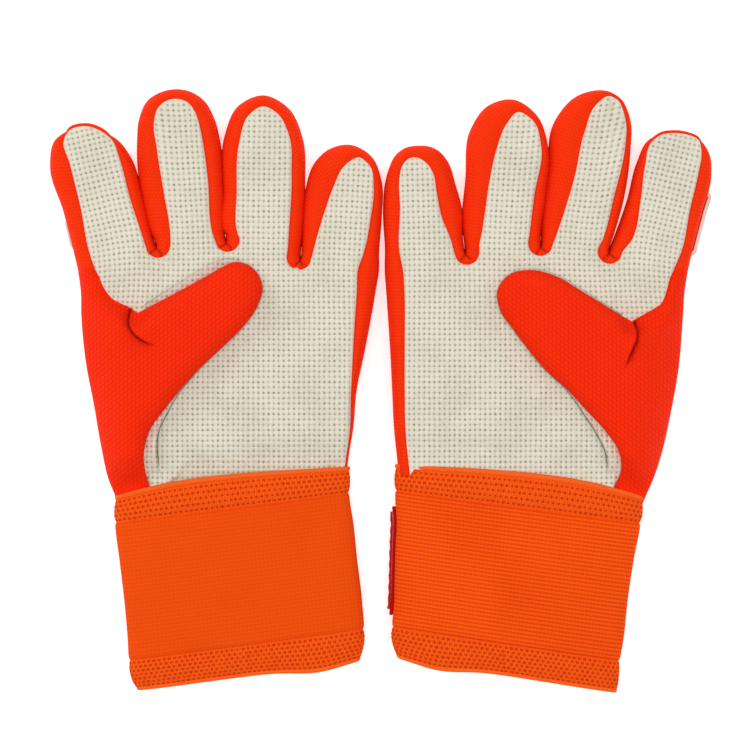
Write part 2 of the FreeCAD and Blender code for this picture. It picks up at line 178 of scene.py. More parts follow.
def knit(name, light, dark, pitch=1.39, depth=0.16, contrast=0.6):
    # Warp-knit polyester: matt, small loops in straight and slanting rows, with dark red painted shade where a
    # piece marks a crease or fold.
    material, add = newMaterial(name, 0.85)
    uv, across, along = clothCoordinates(add)
    slant = add("ShaderNodeMath", (along, 0.79), operation="MULTIPLY")
    slant = add("ShaderNodeMath", (across, 0.62, slant), operation="MULTIPLY_ADD")
    loops = add("ShaderNodeMath", (wave(add, across, pitch), wave(add, slant, pitch)), operation="MULTIPLY")
    high = add("ShaderNodeMapRange", (loops, 0.0, 0.55), interpolation_type="SMOOTHSTEP")
    low = add("ShaderNodeMath", (1.0, high), operation="SUBTRACT")
    grain = add("ShaderNodeTexNoise", {"Vector": uv, "Scale": 1.5})
    grainy = add("ShaderNodeMath", (grain, 0.45), operation="ADD")
    shade = add("ShaderNodeMath", (low, grainy), operation="MULTIPLY")
    shade = add("ShaderNodeMath", (shade, contrast), operation="MULTIPLY")
    cloud = add("ShaderNodeTexNoise", {"Vector": uv, "Scale": 0.05, "Detail": 3.0})
    cloud = add("ShaderNodeMapRange", (cloud, 0.4, 0.75), interpolation_type="SMOOTHSTEP")
    shade = add("ShaderNodeMath", (cloud, 0.12, shade), operation="MULTIPLY_ADD", use_clamp=True)
    colour = add("ShaderNodeMix", {0: shade, 6: light, 7: dark}, 2, data_type="RGBA")
    # painted dark red shade where a piece marks a crease or fold
    crease = add("ShaderNodeAttribute", out=2, attribute_name="crease")
    colour = add("ShaderNodeMix", {0: crease, 6: colour, 7: "#A01002"}, 2, data_type="RGBA")
    height = add("ShaderNodeMath", (grain, 0.3, loops), operation="MULTIPLY_ADD")
    return finishMaterial(material, add, colour, height, depth)


def airMesh(name, light, dark):
    # Honeycomb air mesh: matt polyester yarn, lightest midway between its openings.
    material, add = newMaterial(name, 0.85)
    uv, across, along = clothCoordinates(add)
    grain = add("ShaderNodeTexNoise", {"Vector": uv, "Scale": 1.3})
    yarn = add("ShaderNodeMath", (wave(add, across, 0.93), 0.4, grain), operation="MULTIPLY_ADD")
    share = add("ShaderNodeMapRange", (yarn, 0.4, 0.9), interpolation_type="SMOOTHSTEP")
    colour = add("ShaderNodeMix", {0: share, 6: dark, 7: light}, 2, data_type="RGBA")
    return finishMaterial(material, add, colour, yarn, 0.12)


def elasticWeave(name, light, dark, rib, ribShare):
    # Woven elastic bandage: small dots in a square weave, with cross ribs where it is stretched.
    material, add = newMaterial(name, 0.85)
    uv, across, along = clothCoordinates(add)
    rows = wave(add, along, rib)
    columns = wave(add, across, 1.35)
    dots = add("ShaderNodeMath", (columns, rows), operation="MULTIPLY")
    dots = add("ShaderNodeMath", (dots, 1.0 - ribShare), operation="MULTIPLY")
    broken = add("ShaderNodeMath", (columns, 0.45, 0.55), operation="MULTIPLY_ADD")
    ribs = add("ShaderNodeMath", (rows, broken), operation="MULTIPLY")
    pattern = add("ShaderNodeMath", (ribs, ribShare, dots), operation="MULTIPLY_ADD")
    high = add("ShaderNodeMapRange", (pattern, 0.0, 0.6), interpolation_type="SMOOTHSTEP")
    low = add("ShaderNodeMath", (1.0, high), operation="SUBTRACT")
    grain = add("ShaderNodeTexNoise", {"Vector": uv, "Scale": 1.2})
    grainy = add("ShaderNodeMath", (grain, 0.35), operation="ADD")
    shade = add("ShaderNodeMath", (low, grainy), operation="MULTIPLY")
    shade = add("ShaderNodeMath", (shade, 0.45 + 0.5 * ribShare), operation="MULTIPLY")
    cloud = add("ShaderNodeTexNoise", {"Vector": uv, "Scale": 0.025, "Detail": 3.0})
    cloud = add("ShaderNodeMapRange", (cloud, 0.4, 0.75), interpolation_type="SMOOTHSTEP")
    shade = add("ShaderNodeMath", (cloud, 0.2, shade), operation="MULTIPLY_ADD", use_clamp=True)
    colour = add("ShaderNodeMix", {0: shade, 6: light, 7: dark}, 2, data_type="RGBA")
    height = add("ShaderNodeMath", (grain, 0.3, pattern), operation="MULTIPLY_ADD")
    return finishMaterial(material, add, colour, height, 0.12 + 0.1 * ribShare)


flexLine = {"pitch": 7.0, "deep": 0.55, "sharp": 0.8}


def embossedBackhand():
    # Smooth embossed synthetic leather: off-white, soft gloss, with red flex lines and a red rim.
    material, add = newMaterial("embossed synthetic backhand", 0.5)
    place = objectMillimetres(add)
    along = clothCoordinates(add)[2]
    zone = add("ShaderNodeAttribute", out=2, attribute_name="flexZone")
    zone = add("ShaderNodeMapRange", (zone, 0.4, 0.6), interpolation_type="SMOOTHSTEP")
    lines = wave(add, along, flexLine["pitch"], math.pi)
    lines = add("ShaderNodeMapRange", (lines, 0.95, 0.985), interpolation_type="SMOOTHSTEP")
    lines = add("ShaderNodeMath", (lines, zone), operation="MULTIPLY")
    rim = add("ShaderNodeAttribute", out=2, attribute_name="rim")
    red = add("ShaderNodeMath", (lines, rim), operation="MAXIMUM")
    red = add("ShaderNodeMapRange", (red, 0.35, 0.65), interpolation_type="SMOOTHSTEP")
    soil = add("ShaderNodeTexNoise", {"Vector": place, "Scale": 0.04})
    soil = add("ShaderNodeMapRange", (soil, 0.3, 0.75), interpolation_type="SMOOTHSTEP")
    white = add("ShaderNodeMix", {0: soil, 6: "#EFECE3", 7: "#E0DCCF"}, 2, data_type="RGBA")
    colour = add("ShaderNodeMix", {0: red, 6: white, 7: "#C81E12"}, 2, data_type="RGBA")
    grain = add("ShaderNodeTexNoise", {"Vector": place, "Scale": 1.4, "Detail": 4.0})
    return finishMaterial(material, add, colour, grain, 0.08)


def webbing(name, light, dark):
    # Nylon webbing: flat ribs across, a little gloss on each thread.
    material, add = newMaterial(name, 0.8)
    uv, across, along = clothCoordinates(add)
    slant = add("ShaderNodeMath", (along, 0.5, across), operation="MULTIPLY_ADD")
    threads = add("ShaderNodeMath", (wave(add, slant, 0.9), 0.5, 0.5), operation="MULTIPLY_ADD")
    pattern = add("ShaderNodeMath", (wave(add, along, 1.3), threads), operation="MULTIPLY")
    share = add("ShaderNodeMapRange", (pattern, 0.1, 0.6), interpolation_type="SMOOTHSTEP")
    colour = add("ShaderNodeMix", {0: share, 6: dark, 7: light}, 2, data_type="RGBA")
    return finishMaterial(material, add, colour, pattern, 0.1)


def brushedLoop():
    # Brushed loop tape: a felted pile with no gloss.
    material, add = newMaterial("brushed loop tape", 0.95)
    pile = add("ShaderNodeTexNoise", {"Vector": objectMillimetres(add), "Scale": 2.2, "Detail": 5.0})
    share = add("ShaderNodeMapRange", (pile, 0.35, 0.7), interpolation_type="SMOOTHSTEP")
    colour = add("ShaderNodeMix", {0: share, 6: "#7C100B", 7: "#B9261A"}, 2, data_type="RGBA")
    return finishMaterial(material, add, colour, pile, 0.5)


def mouldedNylon(name, light, dark, roughness):
    # Moulded nylon or rubber: even colour with slight flow marks.
    material, add = newMaterial(name, roughness)
    place = objectMillimetres(add)
    flow = add("ShaderNodeTexNoise", {"Vector": place, "Scale": 0.5, "Detail": 3.0})
    share = add("ShaderNodeMapRange", (flow, 0.3, 0.7), interpolation_type="SMOOTHSTEP")
    colour = add("ShaderNodeMix", {0: share, 6: light, 7: dark}, 2, data_type="RGBA")
    grain = add("ShaderNodeTexNoise", {"Vector": place, "Scale": 3.0})
    return finishMaterial(material, add, colour, grain, 0.04)


def openFoam():
    # Open-cell polyurethane foam: cream, dull, pitted.
    material, add = newMaterial("open cell foam", 0.95)
    cells = add("ShaderNodeTexVoronoi", {"Vector": objectMillimetres(add), "Scale": 1.3})
    share = add("ShaderNodeMapRange", (cells, 0.1, 0.6), interpolation_type="SMOOTHSTEP")
    colour = add("ShaderNodeMix", {0: share, 6: "#B9B29C", 7: "#E4DECB"}, 2, data_type="RGBA")
    return finishMaterial(material, add, colour, cells, 0.4)


materials = {
    "latex": latexWaffle(),
    "gussetKnit": knit("warp knit gusset", "#FB3806", "#E82202", 1.2, 0.12, 0.5),
    "thumbKnit": knit("warp knit thumb", "#FB3105", "#EA2003", 1.39, 0.14, 0.7),
    "airMesh": airMesh("honeycomb air mesh", "#F85C10", "#EA4C08"),
    # dark red discs: painted shade inside the air mesh's openings
    "meshOpening": mouldedNylon("shaded mesh opening", "#D83C06", "#CE3204", 0.95),
    "leftElastic": elasticWeave("elastic square weave", "#F25108", "#E24202", 1.4, 0.3),
    "rightElastic": elasticWeave("elastic ribbed weave", "#FC5A0C", "#DE3602", 1.38, 0.85),
    "binding": knit("binding tape knit", "#FB6A22", "#EE5412", 1.0, 0.1, 0.5),
    "backhand": embossedBackhand(),
    "lining": knit("tricot lining", "#F4F1EA", "#DAD5C8", 0.9, 0.1, 0.4),
    "foam": openFoam(),
    "strap": webbing("strap webbing", "#B90F08", "#A80C06"),
    "loop": brushedLoop(),
    "hook": mouldedNylon("hook tape nylon", "#A3160F", "#86100B", 0.45),
    "tab": mouldedNylon("moulded rubber tab", "#BC1108", "#A40D06", 0.6),
    "redThread": mouldedNylon("red polyester thread", "#D0261A", "#B81C12", 0.6),
}
print("materials made:", len(materials))


def hermitePath(points, counts):
    # a smooth line through points; counts gives the steps in each span
    p = np.array(points, float)
    n = len(p)
    gaps = np.maximum(np.linalg.norm(np.diff(p, axis=0), axis=1), 1e-6)
    tangents = np.zeros_like(p)
    tangents[0] = (p[1] - p[0]) / gaps[0]
    tangents[-1] = (p[-1] - p[-2]) / gaps[-1]
    for i in range(1, n - 1):
        before, after = gaps[i - 1], gaps[i]
        slope = (p[i] - p[i - 1]) / before * after + (p[i + 1] - p[i]) / after * before
        tangents[i] = slope / (before + after)
    path = []
    for i in range(n - 1):
        t = np.linspace(0, 1, counts[i] + 1)[:-1, None]
        a, b = tangents[i] * gaps[i], tangents[i + 1] * gaps[i]
        path.append(
            (2 * t ** 3 - 3 * t ** 2 + 1) * p[i] + (t ** 3 - 2 * t ** 2 + t) * a
            + (3 * t ** 2 - 2 * t ** 3) * p[i + 1] + (t ** 3 - t ** 2) * b)
    return np.vstack(path + [p[-1:]])


def spanCounts(*paths, step=1.0):
    lengths = [np.linalg.norm(np.diff(np.array(path, float), axis=0), axis=1) for path in paths]
    return [max(3, math.ceil(value / step)) for value in np.max(lengths, axis=0)]


def smoothLine(points, step=1.0):
    return hermitePath(points, spanCounts(points, step=step))


def straightLine(a, b, step=1.0):
    a, b = np.array(a, float), np.array(b, float)
    n = max(2, math.ceil(np.linalg.norm(b - a) / step))
    return a + (b - a) * np.linspace(0, 1, n + 1)[:, None]


def runAlong(line):
    # distance from the start of a line to each of its points
    return np.concatenate([[0], np.cumsum(np.linalg.norm(np.diff(line, axis=0), axis=1))])


def normalsOf(line):
    # unit steps square to a line at each of its points
    tangent = np.gradient(line, axis=0)
    tangent /= np.maximum(np.linalg.norm(tangent, axis=1, keepdims=True), 1e-6)
    return np.stack([-tangent[:, 1], tangent[:, 0]], 1)


def distanceTo(points, line):
    # distance of each point from a polyline
    points, line = np.asarray(points, float), np.asarray(line, float)
    best = np.full(len(points), 1e9)
    for start in range(0, len(line) - 1, 60):
        a = line[start:start + 61][:-1]
        b = line[start:start + 61][1:]
        if len(a) == 0:
            continue
        d = b - a
        size = np.maximum((d ** 2).sum(1), 1e-12)
        t = np.clip(((points[:, None, :] - a[None]) * d[None]).sum(2) / size, 0, 1)
        gap = points[:, None, :] - (a[None] + t[..., None] * d[None])
        best = np.minimum(best, np.sqrt((gap ** 2).sum(2)).min(1))
    return best


def nearestOn(points, line):
    # distance of each point from the nearest point of a line, and that point's number
    points, line = np.asarray(points, float), np.asarray(line, float)
    best, index = np.full(len(points), 1e9), np.zeros(len(points), int)
    for start in range(0, len(line), 80):
        gaps = np.linalg.norm(points[:, None, :] - line[None, start:start + 80], axis=2)
        nearest = gaps.argmin(1)
        gap = gaps[np.arange(len(points)), nearest]
        closer = gap < best
        best[closer] = gap[closer]
        index[closer] = nearest[closer] + start
    return best, index


def insideOf(points, polygon):
    x, y = points[:, 0], points[:, 1]
    inside = np.zeros(len(points), bool)
    j = len(polygon) - 1
    for i in range(len(polygon)):
        xi, yi = polygon[i]
        xj, yj = polygon[j]
        crosses = (yi > y) != (yj > y)
        where = np.where(crosses, (xj - xi) * (y - yi) / ((yj - yi) or 1e-12) + xi, 0)
        inside ^= crosses & (x < where)
        j = i
    return inside


def roundUp(distance, radius, power=2.0):
    # 0 at an edge, rising like a quarter circle to 1 at radius from it
    t = 1 - np.clip(np.asarray(distance, float) / radius, 0, 1)
    return (1 - t ** power) ** (1 / power)


def smoothStep(value):
    t = np.clip(np.asarray(value, float), 0, 1)
    return t * t * (3 - 2 * t)


foldRows = {"gaps": (-1.3, -0.75, -0.4, -0.18, 0.0, 0.18, 0.4, 0.75, 1.3), "clear": 1.7}


def fillOutline(outline, grid=1.1, rings=(0.08, 0.3, 0.7, 1.3, 2.1, 3.0), edges=None, fold=None):
    # triangles inside a closed outline, closer together near its edges
    outline = np.array(outline, float)
    keep = [0]
    for i in range(1, len(outline)):
        if np.linalg.norm(outline[i] - outline[keep[-1]]) > 1e-4:
            keep.append(i)
    if np.linalg.norm(outline[keep[-1]] - outline[0]) < 1e-4:
        keep.pop()
    outline = outline[keep]
    closed = np.vstack([outline, outline[:1]])
    rolled = closed if edges is None else edges
    extra = []
    area = 0.5 * np.sum(closed[:-1, 0] * closed[1:, 1] - closed[1:, 0] * closed[:-1, 1])
    tangent = np.roll(outline, -1, 0) - np.roll(outline, 1, 0)
    normal = np.stack([-tangent[:, 1], tangent[:, 0]], 1) * (1 if area > 0 else -1)
    normal /= np.maximum(np.linalg.norm(normal, axis=1, keepdims=True), 1e-9)
    near = distanceTo(outline, rolled) < 0.05
    for ring in rings:
        moved = (outline + normal * ring)[near]
        if len(moved) == 0:
            continue
        moved = moved[insideOf(moved, outline)]
        good = np.abs(distanceTo(moved, closed) - ring) < 0.04 * ring + 0.01
        extra.append(moved[good])
    low, high = outline.min(0), outline.max(0)
    xs = np.arange(low[0] + grid / 2, high[0], grid)
    ys = np.arange(low[1] + grid / 2, high[1], grid * 0.87)
    gx, gy = np.meshgrid(xs, ys)
    gx = gx + (np.arange(len(ys)) % 2)[:, None] * grid / 2
    cells = np.stack([gx.ravel(), gy.ravel()], 1)
    cells = cells[insideOf(cells, outline)]
    pastRings = distanceTo(cells, rolled) >= rings[-1] + grid * 0.6
    cells = cells[pastRings & (distanceTo(cells, closed) > grid * 0.45)]
    if fold is not None:
        # rows of points follow the fold, and the others stay clear of them
        across = normalsOf(fold)
        rows = np.vstack([fold + across * gap for gap in foldRows["gaps"]])
        rows = rows[insideOf(rows, outline)]
        cells = cells[distanceTo(cells, fold) > foldRows["clear"] + 0.2]
        extra = [points[distanceTo(points, fold) > foldRows["clear"]] for points in extra if len(points)]
        extra.append(rows[distanceTo(rows, closed) > 0.35])
    points = np.vstack([outline] + extra + [cells])
    loop = list(range(len(outline)))
    found = delaunay_2d_cdt([Vector(p) for p in points.tolist()], [], [loop], 1, 1e-5)
    return np.array([[v[0], v[1]] for v in found[0]]), [list(face) for face in found[2]]


def plainMesh(piece):
    # the piece with its modifiers and Geometry Nodes turned into plain mesh
    bpy.context.view_layer.update()
    depsgraph = bpy.context.evaluated_depsgraph_get()
    mesh = bpy.data.meshes.new_from_object(piece.evaluated_get(depsgraph))
    old = piece.data
    piece.modifiers.clear()
    piece.data = mesh
    if old.users == 0:
        bpy.data.meshes.remove(old)
    mesh.name = piece.name
    return piece


def weldMesh(mesh, gap, outwards=False):
    # joins points closer than the gap, in millimetres, and may turn the faces outwards
    work = bmesh.new()
    work.from_mesh(mesh)
    bmesh.ops.remove_doubles(work, verts=work.verts, dist=gap * mm)
    if outwards:
        bmesh.ops.recalc_face_normals(work, faces=work.faces)
    work.to_mesh(mesh)
    work.free()


def makePiece(
        name, side, places, faces, material, cloth=None, facing=None, thickness=0.0, weld=False, marks=None):
    # places are (out, along, up); facing(face centre) gives the way that faces look
    k = sides[side]
    places = np.array(places, float)
    world = np.stack([k * places[:, 0], places[:, 1], places[:, 2]], 1) * mm
    mesh = bpy.data.meshes.new(name)
    mesh.from_pydata(world.tolist(), [], faces)
    mesh.update()
    if facing is not None:
        votes = 0.0
        for polygon in mesh.polygons:
            centre = np.array(polygon.center) / mm
            centre[0] *= k
            wanted = np.array(facing(centre), float)
            wanted[0] *= k
            votes += float(np.dot(wanted, polygon.normal)) * polygon.area
        if votes < 0:
            mesh.flip_normals()
    if cloth is not None:
        layer = mesh.uv_layers.new(name="Cloth")
        corner = np.zeros(len(mesh.loops), np.int32)
        mesh.loops.foreach_get("vertex_index", corner)
        layer.data.foreach_set("uv", np.array(cloth, np.float32)[corner].ravel())
    for mark, values in (marks or {}).items():
        attribute = mesh.attributes.new(mark, "FLOAT", "POINT")
        attribute.data.foreach_set("value", np.array(values, np.float32))
    piece = bpy.data.objects.new(name, mesh)
    bpy.context.collection.objects.link(piece)
    mesh.materials.append(materials[material])
    mesh.polygons.foreach_set("use_smooth", [True] * len(mesh.polygons))
    if weld:
        weldMesh(mesh, 0.004)
    if thickness:
        wall = piece.modifiers.new("wall", "SOLIDIFY")
        wall.thickness = thickness * mm
        wall.offset = -1
        wall.use_even_offset = False
        plainMesh(piece)
        piece.data.set_sharp_from_angle(angle=math.radians(50))
    return piece


def declare(piece, slot, *nodes, fill=None):
    # hides the CAD nodes that a piece replaces; its material slot and how full a padded piece is are not used
    if nodes:
        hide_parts(*nodes)


def twoSided(faces, count):
    # faces on both sides of a plate whose lower points come count after its upper ones
    return faces + [[index + count for index in reversed(face)] for face in faces]


def gridFaces(rows, columns, start=0):
    # quads between points laid out row by row
    faces = []
    for i in range(rows - 1):
        for j in range(columns - 1):
            a = start + i * columns + j
            faces.append([a, a + 1, a + columns + 1, a + columns])
    return faces


def scatterTree(name, material, seed):
    # Geometry Nodes: a small rounded shape on every point, turned to face the same way as the cloth
    tree = bpy.data.node_groups.new(name, "GeometryNodeTree")
    add = partial(addNode, tree)
    sockets = tree.interface
    sockets.new_socket("Points", in_out="INPUT", socket_type="NodeSocketGeometry")
    size = {}
    for label in ("Length", "Width", "Height"):
        size[label] = sockets.new_socket(label, in_out="INPUT", socket_type="NodeSocketFloat").identifier
    sockets.new_socket("Made", in_out="OUTPUT", socket_type="NodeSocketGeometry")
    given = add("NodeGroupInput").node.outputs
    ball = add("GeometryNodeMeshUVSphere", {"Radius": 1.0, "Segments": 8, "Rings": 4})
    soft = add("GeometryNodeSetShadeSmooth", (ball,))
    facing = add("GeometryNodeInputNamedAttribute", {"Name": "facing"}, data_type="FLOAT_VECTOR")
    along = add("GeometryNodeInputNamedAttribute", {"Name": "along"}, data_type="FLOAT_VECTOR")
    turn = add("FunctionNodeAxesToRotation", (facing, along), primary_axis="Z", secondary_axis="X")
    scale = add("ShaderNodeCombineXYZ", (given["Length"], given["Width"], given["Height"]))
    vary = add("FunctionNodeRandomValue", {2: 0.86, 3: 1.1, "Seed": seed}, 1, data_type="FLOAT")
    sized = add("ShaderNodeVectorMath", {0: scale, "Scale": vary}, operation="SCALE")
    made = add(
        "GeometryNodeInstanceOnPoints",
        {"Points": given["Points"], "Instance": soft, "Rotation": turn, "Scale": sized})
    real = add("GeometryNodeRealizeInstances", (made,))
    coloured = add("GeometryNodeSetMaterial", {"Geometry": real, "Material": material})
    tree.links.new(coloured, tree.nodes.new("NodeGroupOutput").inputs[0])
    return tree, size


def scatter(name, side, places, facings, alongs, size, material, seed):
    # one small shape at each place; size is its half length, half width and half height
    k = sides[side]
    flip = np.array([k, 1.0, 1.0])
    mesh = bpy.data.meshes.new(name)
    mesh.from_pydata((np.asarray(places) * flip * mm).tolist(), [], [])
    for label, vectors in (("facing", facings), ("along", alongs)):
        attribute = mesh.attributes.new(label, "FLOAT_VECTOR", "POINT")
        attribute.data.foreach_set("vector", (np.asarray(vectors) * flip).astype(np.float32).ravel())
    piece = bpy.data.objects.new(name, mesh)
    bpy.context.collection.objects.link(piece)
    tree, sockets = scatterTree(f"{name} nodes", materials[material], seed)
    modifier = piece.modifiers.new("scatter", "NODES")
    modifier.node_group = tree
    for label, value in zip(("Length", "Width", "Height"), size):
        modifier[sockets[label]] = value * mm
    return plainMesh(piece)


def stitchSpots(line, step):
    # middles and directions of stitches along a line
    line = np.asarray(line, float)
    run = runAlong(line)
    at = np.arange(step / 2, run[-1] - step / 4, step)
    spots = np.stack([np.interp(at, run, line[:, 0]), np.interp(at, run, line[:, 1])], 1)
    ahead = np.stack([np.interp(at + 0.3, run, line[:, 0]), np.interp(at + 0.3, run, line[:, 1])], 1)
    ways = ahead - spots
    return spots, ways / np.maximum(np.linalg.norm(ways, axis=1, keepdims=True), 1e-6)


def softNoise(points, size, seed):
    # gentle unevenness, -1 to 1, from a few sine waves
    generator = np.random.default_rng(seed)
    total = np.zeros(len(points))
    for _ in range(6):
        angle, phase, stretch = generator.uniform(0, 2 * math.pi, 3)
        wavelength = size * (0.7 + 0.6 * stretch / (2 * math.pi))
        along = points[:, 0] * math.cos(angle) + points[:, 1] * math.sin(angle)
        total += np.sin(2 * math.pi * along / wavelength + phase)
    return total / 6


hand = {
    "seamTop": 15.9,  # where palm foam meets the gussets
    "middle": 8.6,  # height of the outermost line
    "seamBack": 2.4,
    "palmTop": 17.3,
    "tipDrop": 3.0,
    "knuckleDips": ((1.0, 4.0, 0.35), (17.0, 3.5, 0.25)),  # place along a finger, width, depth
    "backInset": 3.4,
    "foamRoll": 2.2,
    "crotchRound": 4.3,
    # half of the gap, the way up it, and the foam's edge measured in rounds
    "crotchCurve": ((0.03, 0.9, 0.76, 0.35), (0.05, 2.0, 1.0, 0.95)),
    "wristDrop": {
        "foam": 3.2, "corner": 2.6, "seam": 0.8, "side": 1.2, "back": 2.2, "cover": 3.4, "front": 5.4},
    "webLap": 0.5,
    "gussetWall": 1.2,
    "foamWall": 1.9,
    "wristTuck": 1.5,  # the palm foam goes this far under the cuff
    "palmEnd": 80.6,
}

